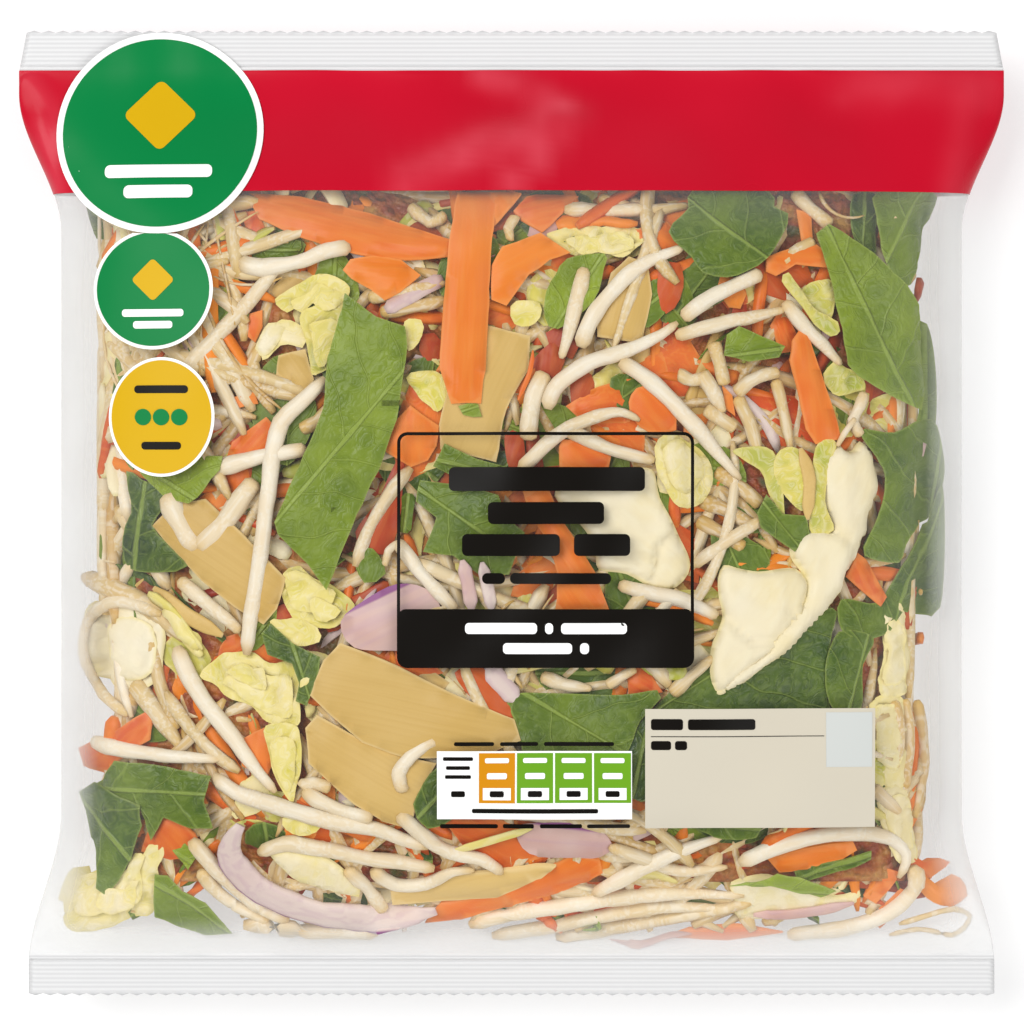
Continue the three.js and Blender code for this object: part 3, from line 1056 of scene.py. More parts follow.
# A flat piece cut to an outline: a leaf, a slice or a slab, bent to the top of the contents.
def addSlab(kind, outline, shape):
    rim = [(p.x, p.y) for p in outline]
    thick, bevelled, under = shape["thick"], shape.get("bevelled", 0.5), shape.get("under", 1.0)
    crumple, wave = shape.get("crumple", 0.0), shape.get("wave", 6.0)
    seed = shape.get("seed", 0.0)
    bm = bmesh.new()
    along, across, edge, tintLayer = addLayers(bm)
    bm.faces.new([bm.verts.new((x, y, 0)) for x, y in rim])
    bmesh.ops.inset_region(bm, faces=bm.faces[:], thickness=min(0.6, bevelled * 0.7), use_boundary=True,
        use_even_offset=True)
    cutInCells(bm, shape.get("cell", 3.0))
    bmesh.ops.triangulate(bm, faces=[f for f in bm.faces if len(f.verts) > 4])
    ribStart, ribEnd = shape["rib"]
    direction = (ribEnd - ribStart).normalized()
    for vert in bm.verts:
        x, y = vert.co.x, vert.co.y
        gap = distanceToRim(x, y, rim)
        away = Vector((x, y)) - ribStart
        vert[along] = away.dot(direction)
        vert[across] = direction.x * away.y - direction.y * away.x
        vert[edge] = gap
        vert[tintLayer] = shape["tint"] + shape.get("fade", 0.0) * noise.noise(Vector((x / 9, y / 9, seed)))
    grown = bmesh.ops.extrude_face_region(bm, geom=bm.faces[:])["geom"]
    lower = {g for g in grown if isinstance(g, bmesh.types.BMVert)}
    for vert in bm.verts:
        x, y = vert.co.x, vert.co.y
        gap = vert[edge]
        rounding = math.sqrt(max(0.0, 1 - (1 - min(1.0, gap / bevelled)) ** 2))
        rise = 0.0
        if crumple:
            ridge = foldAt(x / wave, y / wave, seed)
            lip = 0.4 * (1 - min(1.0, gap / 2.0))
            rise = crumple * (ridge - 1 + lip * (1 - ridge))
            # painted light and shade: paler on the folds' crests, darker in the hollows
            vert[tintLayer] = shape["tint"] + shape.get("fade", 0.0) * (0.55 - ridge)
            vert.co.x += 0.45 * crumple * noise.noise(Vector((x / wave * 1.3, y / wave * 1.3, seed + 9)))
            vert.co.y += 0.45 * crumple * noise.noise(Vector((x / wave * 1.3, y / wave * 1.3, seed + 17)))
        rise += shape.get("bend", 0.0) * noise.noise(Vector((x / 17, y / 17, seed + 5)))
        if "creases" in shape:
            rise -= creaseDepth(x, y, shape["creases"])
        if "blister" in shape:
            puff = blisterAt(x, y, seed)
            rise += shape["blister"] * puff
            if vert not in lower:
                vert[tintLayer] += 0.16 * (0.5 - puff)
        if vert in lower:
            vert.co.z = rise - thick + (1 - rounding) * thick * 0.2
        else:
            vert.co.z = rise - (1 - rounding) * thick * shape.get("drop", 0.45)
    for vert in bm.verts:
        x, y, z = vert.co
        depth = z - under
        if shape.get("placed") and under < shape.get("coversTo", 2.3):
            taken.add(cellOf(x, y))
        vert.co = Vector((x, y, contentsTop(x, y))) + normalOf(contentsTop, x, y) * min(0.15, depth)
    faceOutwards(bm)
    heaps[kind].add(bm)


def slabSeen(kind, look, defaults):  # a slab whose outline is given in pixels of the photograph
    shape = {**defaults, **{k: v for k, v in look.items() if k != "edge"}, "placed": True}
    points = [Vector(seenAt(*p)) for p in look["edge"]]
    shape["rib"] = [Vector(seenAt(*p)) for p in look["rib"]] if "rib" in look else longestRun(points)
    centre = sum(points, Vector((0, 0))) / len(points)
    if "creases" in look:
        shape["creases"] = [
            (depth, width, [Vector(seenAt(*p)) for p in line]) for depth, width, line in look["creases"]
        ]
    layers = shape.get("layers", 1)
    for layer in range(layers):
        part = 1 - 0.3 * layer
        aside = Vector((math.sin(shape["seed"] + 2 * layer), math.cos(shape["seed"] + 3 * layer)))
        shift = aside * 1.3 * layer
        corners = [centre + shift + (p - centre) * part for p in points]
        if shape.get("soft", True):
            outline = rounded(corners, shape.get("step", 2.2), closed=True)
        else:
            outline = straightEdged(corners, 3.0, shape["seed"])
        lower = {"under": shape["under"] + 0.8 * (layers - 1 - layer), "seed": shape["seed"] + 11 * layer}
        addSlab(kind, outline, {**shape, **lower, "tint": shape["tint"] - 0.06 * layer})


def straightEdged(points, step, seed):
    line = []
    for a, b in zip(points, points[1:] + points[:1]):
        parts = max(1, round((b - a).length / step))
        for j in range(parts):
            p = a.lerp(b, j / parts)
            shake = 0.25 * noise.noise(Vector((p.x / 2, p.y / 2, seed)))
            line.append(p + Vector((shake, -shake)))
    return line


def longestRun(points):
    pairs = [(a, b) for a in points for b in points]
    return max(pairs, key=lambda pair: (pair[0] - pair[1]).length)


# Vegetables that show are placed by their outline in the photograph, in pixels.
# under is the depth below the top of the contents in millimetres, and tint runs over the material's tones.
def slab(under, tint, edge, **more):
    return {"under": under, "tint": tint, "edge": edge, **more}


leafDefaults = {"thick": 0.5, "bevelled": 0.4, "bend": 1.6, "blister": 0.4, "cell": 1.3, "fade": 0.2,
    "under": 1.0, "tint": 0.4, "soft": True, "step": 2.4}
leaves = {
    "longLeaf": slab(0.2, 0.64, [(345, 293), (359, 304), (375, 316), (405, 326), (407, 346), (403, 376),
        (397, 419), (378, 471), (357, 515), (341, 553), (333, 574), (326, 590), (307, 564), (277, 535),
        (274, 523), (283, 500), (309, 443), (323, 407), (327, 358)], soft=False,
        rib=((275, 522), (402, 372))),
    "upperLeaf": slab(0.6, 0.31, [(669, 230), (689, 206), (694, 188), (768, 188), (775, 205), (789, 212),
        (789, 222), (770, 256), (749, 270), (728, 277), (703, 272), (692, 256)],
        rib=((775, 262), (700, 205))),
    "bigRightLeaf": slab(0.3, 0.66, [(817, 232), (830, 222), (875, 251), (908, 283), (921, 304), (926, 341),
        (930, 376), (924, 410), (898, 398), (859, 375), (848, 364), (844, 327), (834, 283)],
        rib=((915, 405), (835, 240)), soft=False),
    "edgeLeafRight": slab(2.0, 0.45, [(918, 300), (934, 330), (940, 380), (938, 432), (926, 428),
        (928, 376)], rib=((930, 430), (930, 300))),
    "topRightLeaf": slab(1.1, 0.5, [(881, 188), (938, 188), (930, 225), (921, 272), (910, 286), (888, 262),
        (880, 214)], rib=((884, 268), (924, 194))),
    "darkTopRight": slab(3.2, 0.1, [(858, 188), (886, 188), (884, 225), (886, 256), (868, 250), (856, 222)],
        rib=((870, 250), (870, 190))),
    "rightLeafUpper": slab(1.0, 0.42, [(864, 430), (900, 432), (935, 418), (946, 450), (947, 480),
        (934, 515), (912, 545), (904, 563), (868, 556), (873, 536), (887, 500), (886, 468)],
        rib=((934, 515), (944, 448))),
    "rightLeafLower": slab(1.9, 0.3, [(846, 600), (885, 604), (905, 575), (925, 540), (946, 486),
        (944, 608), (914, 612), (897, 632), (868, 640), (846, 630)], rib=((900, 632), (946, 500))),
    "rightLeafLow": slab(1.8, 0.25, [(844, 632), (879, 638), (868, 665), (866, 708), (836, 710),
        (828, 672)], rib=((855, 704), (872, 640))),
    "bigLowerLeaf": slab(3.0, 0.22, [(650, 716), (677, 687), (703, 663), (760, 640), (838, 608), (837, 636),
        (830, 675), (826, 730), (740, 740), (660, 730)], coversTo=9, rib=((650, 716), (770, 640))),
    "wideVeinedLeaf": slab(1.4, 0.4, [(511, 697), (560, 694), (622, 695), (657, 691), (661, 699),
        (640, 722), (630, 748), (610, 770), (545, 768), (524, 752), (518, 725)],
        rib=((522, 692), (612, 746))),
    "gapLeaf": slab(1.7, 0.12, [(628, 745), (650, 712), (664, 760), (655, 800), (630, 798), (622, 775)],
        rib=((632, 800), (652, 710))),
    "titleLeafUpper": slab(1.3, 0.4, [(432, 466), (444, 444), (476, 459), (512, 468), (506, 486),
        (470, 486)], rib=((436, 460), (512, 478)), soft=False),
    "titleLeafLower": slab(1.7, 0.36, [(420, 480), (461, 485), (497, 495), (510, 522), (524, 534),
        (515, 558), (509, 575), (480, 575), (454, 556), (422, 551), (436, 517), (415, 500)],
        rib=((424, 492), (520, 560)), soft=False),
    "labelLeaf": slab(0.8, 0.85, [(112, 440), (150, 455), (222, 456), (219, 470), (196, 497), (186, 503),
        (161, 497), (140, 478)], rib=((120, 455), (195, 500)), soft=False),
    "leftDarkLeaf": slab(2.2, 0.1, [(119, 471), (136, 480), (153, 487), (161, 503), (147, 525), (163, 545),
        (183, 566), (171, 572), (119, 568), (117, 529), (125, 513)], rib=((125, 575), (140, 480))),
    "leftHazyLeaf": slab(2.6, 0.42, [(112, 352), (134, 362), (130, 400), (124, 440), (124, 470), (106, 445),
        (101, 400)], rib=((116, 470), (112, 360))),
    "leftUpperHazy": slab(3.4, 0.45, [(93, 258), (108, 250), (118, 300), (106, 342), (95, 318)],
        rib=((104, 340), (96, 262))),
    "underBigLabel": slab(4.0, 0.5, [(82, 196), (102, 200), (112, 244), (94, 240)],
        rib=((104, 240), (84, 200))),
    "stemLeaf": slab(1.5, 0.24, [(260, 634), (270, 624), (291, 643), (319, 657), (315, 679), (305, 706),
        (293, 701), (297, 683), (291, 664), (266, 655)], rib=((310, 704), (290, 640)), soft=False),
    "lowerLeftLeafA": slab(1.2, 0.36, [(91, 786), (109, 762), (164, 768), (209, 776), (203, 802),
        (211, 831), (189, 831), (160, 819), (148, 843), (138, 812), (112, 800)],
        rib=((92, 790), (210, 795)), soft=False),
    "lowerLeftLeafB": slab(0.3, 0.32, [(76, 794), (91, 784), (117, 798), (138, 806), (139, 827), (128, 860),
        (117, 884), (105, 898), (95, 890), (91, 853), (83, 813)], rib=((78, 800), (128, 862)), soft=False),
    "bottomGreen": slab(1.4, 0.6, [(152, 878), (166, 882), (181, 898), (205, 909), (232, 936), (205, 939),
        (181, 933), (153, 920)], rib=((150, 885), (228, 935)), soft=False),
    "brightBit": slab(1.2, 0.95, [(168, 855), (181, 848), (196, 862), (186, 877)],
        rib=((170, 856), (190, 870)), soft=False),
    "smallGreenRight": slab(1.5, 0.62, [(724, 354), (728, 334), (740, 325), (764, 336), (787, 346),
        (780, 357), (750, 361)], rib=((726, 356), (786, 348)), soft=False),
    "factsLeaf": slab(1.6, 0.24, [(436, 770), (414, 806), (417, 821), (428, 833), (441, 830), (460, 815),
        (462, 785)], rib=((418, 822), (455, 780))),
    "underDateLeaf": slab(1.6, 0.36, [(676, 815), (762, 812), (764, 828), (757, 841), (733, 844),
        (705, 837)], rib=((690, 825), (760, 832))),
    "deepGreenMiddle": slab(2.2, 0.8, [(556, 273), (567, 257), (605, 252), (604, 268), (594, 300),
        (558, 328), (545, 316), (547, 289)], rib=((558, 322), (600, 258))),
    "deepGreenRight": slab(3.6, 0.3, [(613, 376), (632, 372), (650, 384), (652, 412), (632, 418),
        (616, 402)], rib=((620, 400), (650, 380))),
    "deepGreenLeft": slab(3.0, 0.14, [(215, 292), (244, 298), (246, 318), (224, 326), (212, 312)],
        rib=((218, 320), (240, 290))),
    "slabGreenBit": slab(0.9, 0.8, [(458, 406), (478, 403), (482, 416), (463, 415)],
        rib=((460, 412), (480, 405))),
    "limeDark": slab(1.6, 0.28, [(758, 512), (767, 494), (784, 514), (808, 516), (812, 534), (797, 551),
        (762, 527)], rib=((762, 500), (800, 545)), soft=False),
    "pepperSideGreen": slab(2.6, 0.4, [(352, 552), (372, 548), (384, 572), (362, 582)],
        rib=((398, 600), (420, 560))),
    "bottomStripDark": slab(2.0, 0.36, [(796, 878), (846, 866), (875, 855), (874, 864), (838, 880),
        (800, 890)], rib=((800, 886), (876, 858))),
    "bottomStripOlive": slab(1.4, 0.88, [(729, 890), (770, 880), (778, 875), (800, 880), (838, 896),
        (822, 902), (790, 893), (770, 888)], rib=((735, 888), (832, 898)), soft=False),
    "topGreenMiddle": slab(3.6, 0.55, [(224, 236), (250, 230), (296, 238), (284, 262), (256, 256),
        (238, 250)], rib=((225, 245), (300, 250))),
}
carrotDefaults = {"thick": 2.2, "bevelled": 0.6, "bend": 0.5, "under": 1.2, "tint": 0.55, "soft": False}
carrots = {
    "strip": slab(0.4, 0.62, [(456, 188), (497, 188), (492, 249), (489, 301), (486, 368), (481, 402),
        (451, 404), (440, 368), (445, 301), (448, 239)], rib=((465, 404), (476, 196))),
    "slab": slab(1.3, 0.55, [(243, 188), (300, 190), (370, 207), (449, 235), (448, 256), (380, 256),
        (327, 245), (288, 231), (255, 214)], rib=((250, 200), (447, 245))),
    "chunk": slab(0.8, 0.7, [(341, 269), (350, 258), (375, 252), (400, 257), (420, 273), (400, 290),
        (383, 298), (368, 287), (350, 278)]),
    "topCorner": slab(1.0, 0.75, [(490, 188), (522, 188), (500, 215), (491, 226)]),
    "upperBack": slab(2.0, 0.3, [(514, 204), (528, 188), (580, 188), (560, 210), (543, 228), (522, 214)]),
    "upperFront": slab(0.9, 0.72, [(504, 245), (541, 230), (570, 251), (550, 259), (530, 273), (506, 305),
        (491, 299), (493, 265)]),
    "besideLabels": slab(1.4, 0.3, [(228, 441), (262, 415), (271, 425), (266, 451), (218, 467)]),
    "besideLabelsTwo": slab(1.7, 0.5, [(218, 400), (252, 391), (254, 402), (222, 410)]),
    "besideSprout": slab(2.3, 0.4, [(248, 312), (261, 308), (262, 326), (254, 342), (246, 336)]),
    "leftOfTitle": slab(1.4, 0.5, [(389, 433), (397, 419), (409, 407), (425, 419), (437, 427), (435, 447),
        (427, 461), (411, 467), (384, 450)]),
    "titleDiagonal": slab(1.2, 0.5, [(522, 489), (551, 490), (566, 525), (596, 573), (610, 612), (556, 612),
        (556, 575), (546, 541), (528, 515)]),
    "titleTop": slab(2.2, 0.42, [(561, 445), (563, 438), (612, 446), (608, 471), (582, 480), (563, 470)]),
    "rightWedge": slab(0.7, 0.45, [(808, 325), (796, 340), (793, 360), (802, 396), (808, 428), (818, 443),
        (844, 438), (840, 420), (829, 386), (815, 342)], rib=((825, 440), (808, 326))),
    "upperRight": slab(1.6, 0.5, [(770, 255), (784, 249), (816, 239), (828, 249), (831, 266), (800, 262),
        (780, 273), (770, 269)]),
    "stripUp": slab(2.4, 0.6, [(799, 203), (814, 207), (816, 239), (806, 241)]),
    "roundSlice": slab(2.0, 0.42, [(631, 401), (639, 387), (652, 383), (666, 397), (678, 417), (678, 428),
        (650, 430), (635, 418)], soft=True),
    "smallSlice": slab(2.2, 0.55, [(723, 384), (735, 396), (739, 418), (728, 410)]),
    "topMiddle": slab(2.6, 0.5, [(636, 222), (669, 214), (682, 229), (676, 251), (654, 260), (644, 246)]),
    "leftEdge": slab(1.3, 0.18, [(75, 750), (101, 735), (126, 719), (141, 712), (145, 722), (142, 742),
        (107, 762), (95, 775), (80, 768)]),
    "underLeftLeaf": slab(2.3, 0.08, [(152, 815), (176, 828), (189, 841), (203, 866), (166, 868),
        (134, 856), (138, 840)]),
    "nearFlower": slab(2.4, 0.35, [(240, 737), (262, 726), (270, 760), (264, 778), (238, 765)]),
    "bottomLong": slab(1.5, 0.5, [(425, 930), (440, 911), (503, 900), (535, 885), (574, 863), (601, 870),
        (604, 883), (557, 902), (470, 924)]),
    "bottomRed": slab(2.3, 0.16, [(440, 824), (480, 816), (515, 836), (542, 868), (505, 880), (465, 860)]),
    "rightOfFacts": slab(2.3, 0.4, [(630, 788), (647, 788), (648, 818), (630, 814)]),
    "lowerRight": slab(1.6, 0.6, [(768, 866), (806, 855), (857, 846), (861, 856), (846, 867), (794, 880),
        (781, 881)]),
    "lowerRightStripA": slab(2.2, 0.3, [(892, 876), (905, 879), (893, 897), (878, 913), (866, 906)]),
    "lowerRightStripB": slab(1.8, 0.25, [(903, 897), (914, 901), (898, 920), (881, 934), (872, 926)]),
    "farRight": slab(2.2, 0.25, [(911, 860), (920, 852), (953, 864), (945, 874), (918, 872)]),
    "farRightPale": slab(2.8, 1.0, [(924, 874), (963, 880), (968, 904), (945, 912), (925, 900)], soft=True),
    "bottomEdge": slab(0.9, 0.5, [(664, 942), (690, 934), (738, 931), (784, 938), (727, 944)]),
    "betweenLeaves": slab(1.5, 0.12, [(852, 578), (864, 554), (872, 560), (894, 598), (887, 607),
        (868, 592)]),
    "underTitle": slab(2.8, 0.12, [(624, 670), (645, 668), (662, 694), (628, 698)]),
    "topLeftDeep": slab(3.0, 0.2, [(236, 205), (252, 202), (262, 232), (246, 240)]),
}
bambooDefaults = {"thick": 2.2, "bevelled": 0.6, "bend": 0.3, "under": 1.2, "tint": 0.5, "soft": False}
bamboo = {
    "large": slab(0.6, 0.5, [(307, 694), (322, 660), (338, 643), (396, 667), (448, 692), (516, 720),
        (522, 741), (480, 758), (435, 760), (401, 757), (362, 743), (330, 716)],
        rib=((310, 690), (520, 735))),
    "second": slab(1.5, 0.62, [(303, 730), (315, 716), (362, 741), (405, 757), (436, 766), (418, 802),
        (411, 837), (383, 828), (351, 806), (330, 787), (307, 766)], rib=((310, 740), (415, 800))),
    "left": slab(1.4, 0.4, [(146, 526), (168, 503), (200, 498), (240, 535), (284, 580), (276, 610),
        (262, 625), (232, 608), (198, 582), (162, 545)], rib=((150, 520), (270, 600))),
    "behindStrip": slab(1.7, 0.55, [(486, 324), (530, 336), (528, 368), (512, 398), (504, 419), (494, 462),
        (438, 450), (437, 427), (443, 403), (450, 380)], rib=((455, 455), (510, 335))),
    "upper": slab(2.3, 0.5, [(598, 334), (643, 342), (652, 292), (649, 262), (630, 255), (611, 272),
        (598, 310)], rib=((620, 335), (640, 260))),
    "small": slab(1.6, 0.5, [(277, 354), (303, 347), (312, 377), (303, 392), (273, 374)]),
    "bottomStrip": slab(0.8, 0.9, [(391, 898), (457, 881), (535, 872), (556, 873), (542, 885), (496, 904),
        (393, 911)], rib=((392, 905), (555, 874))),
}
cabbageDefaults = {"thick": 0.9, "bevelled": 0.6, "crumple": 2.2, "wave": 6.0, "under": 0.6, "tint": 0.4,
    "fade": 0.45, "soft": True, "cell": 1.3, "step": 1.6}
cabbages = {
    "creamStem": slab(0.1, 0.0, [(836, 446), (843, 441), (851, 450), (860, 449), (868, 440), (879, 452),
        (884, 471), (887, 484), (882, 500), (876, 515), (874, 534), (867, 540), (866, 550), (861, 562),
        (850, 579), (846, 592), (836, 607), (820, 623), (796, 650), (767, 671), (744, 687), (722, 697),
        (717, 692), (727, 684), (739, 671), (764, 655), (784, 630), (798, 612), (808, 600), (811, 586),
        (808, 572), (800, 561), (796, 550), (799, 539), (808, 532), (820, 531), (834, 532), (835, 522),
        (830, 508), (827, 488), (825, 477), (829, 458)], fade=0.06, thick=4.8, bevelled=3.4, drop=0.7,
        crumple=0.9, wave=9.0, step=1.3, rib=((850, 450), (760, 670)),
        creases=[(1.1, 0.9, [(850, 579), (853, 560), (853, 545), (846, 537), (834, 531)]),
            (0.7, 1.0, [(841, 462), (839, 490), (838, 524)]), (0.5, 0.8,
                [(822, 612), (812, 622), (806, 634)])]),
    "creamSlab": slab(0.8, 0.0, [(724, 564), (738, 567), (762, 571), (786, 568), (802, 569), (814, 584),
        (808, 610), (792, 634), (770, 658), (742, 680), (722, 694), (715, 684), (713, 664), (716, 641),
        (725, 616), (721, 600), (718, 578)], fade=0.06, thick=4.0, bevelled=2.6, drop=0.6, crumple=0.5,
        wave=13.0, rib=((724, 690), (800, 580)), creases=[(1.1, 1.0,
            [(798, 614), (778, 643), (756, 645), (741, 633), (726, 614)]),
            (0.6, 0.8, [(800, 612), (758, 601), (738, 588)])]),
    "creamTitle": slab(0.8, 0.0, [(558, 490), (614, 471), (652, 468), (662, 500), (679, 531), (691, 565),
        (679, 585), (655, 587), (631, 575), (602, 570), (597, 546), (578, 518)],
        creases=[(1.6, 0.6, [(652, 577), (659, 561), (656, 550), (669, 537)]),
            (0.6, 1.2, [(596, 545), (625, 556), (652, 560)])], fade=0.08, thick=4.0, bevelled=2.4, drop=0.6,
            crumple=1.2, wave=12.0, rib=((575, 490), (680, 570))),
    "yellowKnob": slab(0.5, 0.3, [(655, 444), (674, 431), (690, 442), (711, 459), (716, 485), (699, 505),
        (682, 507), (664, 482)], layers=2, thick=1.6, crumple=1.6),
    "curlTop": slab(0.8, 0.5, [(274, 297), (298, 287), (317, 276), (345, 285), (337, 309), (318, 312),
        (307, 300), (286, 311)], layers=2),
    "curlMiddle": slab(0.4, 0.7, [(299, 312), (327, 303), (343, 316), (339, 336), (327, 364), (311, 372),
        (303, 342)], layers=2),
    "curlLeft": slab(1.5, 0.2, [(266, 340), (282, 318), (302, 330), (300, 346), (280, 346), (262, 358)]),
    "crumpleMiddle": slab(0.7, 0.52, [(280, 574), (293, 567), (317, 582), (337, 592), (349, 602),
        (337, 621), (317, 629), (293, 621), (281, 598)], layers=3, crumple=2.0),
    "crumpleUnder": slab(1.6, 0.45, [(268, 622), (290, 618), (316, 628), (318, 642), (296, 646),
        (280, 640)]),
    "flower": slab(0.4, 0.42, [(198, 675), (214, 659), (244, 655), (268, 665), (293, 664), (297, 691),
        (292, 727), (268, 722), (246, 709), (228, 699), (216, 688)], layers=3, crumple=2.2),
    "flowerTail": slab(0.8, 0.5, [(262, 727), (295, 728), (299, 766), (293, 802), (280, 790), (270, 766),
        (264, 747)], layers=2, crumple=1.2),
    "bottomLeft": slab(0.1, 0.3, [(56, 914), (62, 880), (78, 868), (128, 874), (144, 848), (160, 852),
        (154, 874), (157, 896), (152, 919), (130, 925), (104, 934), (70, 934)], layers=3, crumple=1.6),
    "limeStrip": slab(0.9, 0.85, [(784, 280), (791, 271), (803, 286), (819, 308), (841, 321), (843, 331),
        (834, 336), (819, 322), (805, 304)], crumple=1.0),
    "limeFold": slab(2.0, 0.8, [(806, 290), (816, 280), (838, 282), (840, 318), (822, 308)]),
    "limeBelow": slab(1.4, 0.95, [(827, 373), (841, 361), (850, 366), (866, 375), (870, 387), (844, 394),
        (832, 387)]),
    "limeSpike": slab(1.2, 1.0, [(735, 452), (768, 448), (780, 466), (786, 516), (770, 492), (762, 470)],
        crumple=0.8),
    "limeRound": slab(0.9, 0.72, [(774, 467), (781, 450), (800, 448), (810, 479), (808, 511), (791, 502),
        (777, 484)], crumple=0.8),
    "limeTall": slab(1.1, 0.8, [(817, 447), (828, 437), (840, 443), (832, 467), (828, 502), (837, 531),
        (814, 533), (813, 506)], crumple=0.8),
    "wedge": slab(0.7, 0.1, [(266, 855), (305, 859), (334, 869), (362, 896), (360, 904), (313, 893),
        (291, 885)], thick=2.6, bevelled=1.6, crumple=0.5),
    "upperYellow": slab(1.5, 0.36, [(548, 229), (593, 219), (633, 219), (645, 229), (643, 243), (623, 254),
        (595, 250), (577, 254), (557, 242)], layers=2),
    "smallFlower": slab(1.8, 0.42, [(510, 306), (524, 299), (542, 302), (541, 318), (530, 327),
        (516, 322)]),
    "midYellow": slab(1.8, 0.6, [(405, 378), (419, 371), (447, 376), (446, 398), (435, 412), (419, 402)]),
    "stripYellow": slab(2.2, 0.45, [(405, 322), (423, 320), (425, 336), (409, 350)]),
    "whiteStemLeft": slab(1.2, 0.04, [(254, 348), (268, 322), (284, 326), (276, 344), (262, 356)],
        thick=2.0, crumple=0.4),
    "rightPaleA": slab(1.1, 0.2, [(888, 618), (902, 604), (917, 612), (921, 650), (918, 688), (902, 700),
        (886, 690), (893, 652)], layers=2, fade=0.12, crumple=1.6, wave=4.0),
    "rightPaleB": slab(1.2, 0.26, [(878, 704), (898, 694), (916, 704), (923, 742), (918, 782), (900, 792),
        (886, 776), (882, 738)], layers=2, fade=0.16, crumple=1.6, wave=4.0),
    "rightPaleC": slab(1.1, 0.16, [(886, 800), (904, 786), (922, 796), (930, 832), (926, 862), (904, 868),
        (890, 838)], layers=2, fade=0.14, crumple=1.6, wave=4.0),
    "rightLime": slab(1.2, 0.66, [(876, 742), (888, 745), (894, 767), (886, 789), (876, 778)]),
    "leftLump": slab(1.8, 0.02, [(82, 612), (119, 598), (150, 612), (159, 640), (150, 680), (110, 692),
        (88, 670)], layers=2, fade=0.08, crumple=1.2),
    "pinkSlab": slab(1.8, 0.06, [(731, 892), (770, 886), (830, 905), (862, 900), (850, 915), (800, 926),
        (740, 926), (735, 906)], crumple=0.5, thick=2.0),
    "lowerBit": slab(1.6, 0.45, [(282, 822), (300, 812), (322, 822), (310, 842), (290, 840)]),
}
onionDefaults = {"thick": 1.8, "bevelled": 0.7, "bend": 0.6, "under": 1.4, "tint": 0.4, "soft": True}
onions = {
    "wedge": slab(1.4, 0.2, [(338, 622), (362, 600), (395, 583), (425, 588), (442, 609), (440, 650),
        (398, 652), (352, 648)], rib=((352, 626), (430, 589))),
    "lower": slab(1.8, 0.1, [(515, 841), (521, 831), (587, 829), (614, 853), (600, 867), (568, 867),
        (529, 861)]),
}
pepperDefaults = {"thick": 1.8, "bevelled": 0.7, "bend": 0.6, "under": 2.4, "tint": 0.4, "soft": True}
peppers = {
    "leftOfTitle": slab(2.4, 0.3, [(355, 532), (378, 500), (392, 470), (404, 452), (402, 500), (396, 530),
        (385, 553), (364, 549)]),
    "underTitle": slab(1.9, 0.8, [(454, 672), (485, 667), (510, 698), (515, 722), (480, 706)]),
    "upper": slab(3.0, 0.7, [(660, 266), (680, 261), (685, 285), (676, 307), (660, 310)]),
    "middle": slab(3.8, 0.2, [(570, 370), (592, 372), (594, 402), (572, 408)]),
    "titleTop": slab(3.0, 0.3, [(505, 432), (522, 430), (526, 462), (508, 468)]),
    "midLeft": slab(3.6, 0.3, [(530, 364), (556, 338), (566, 352), (548, 384)]),
}


def layPlacedSlabs():
    groupsOfSlabs = [
        ("green", leaves, leafDefaults), ("carrot", carrots, carrotDefaults),
        ("bamboo", bamboo, bambooDefaults),
        ("cabbage", cabbages, cabbageDefaults), ("onion", onions, onionDefaults),
        ("pepper", peppers, pepperDefaults),
    ]
    for kind, pieces, defaults in groupsOfSlabs:
        for number, look in enumerate(pieces.values()):
            slabSeen(kind, {"seed": number * 1.37, **look}, defaults)


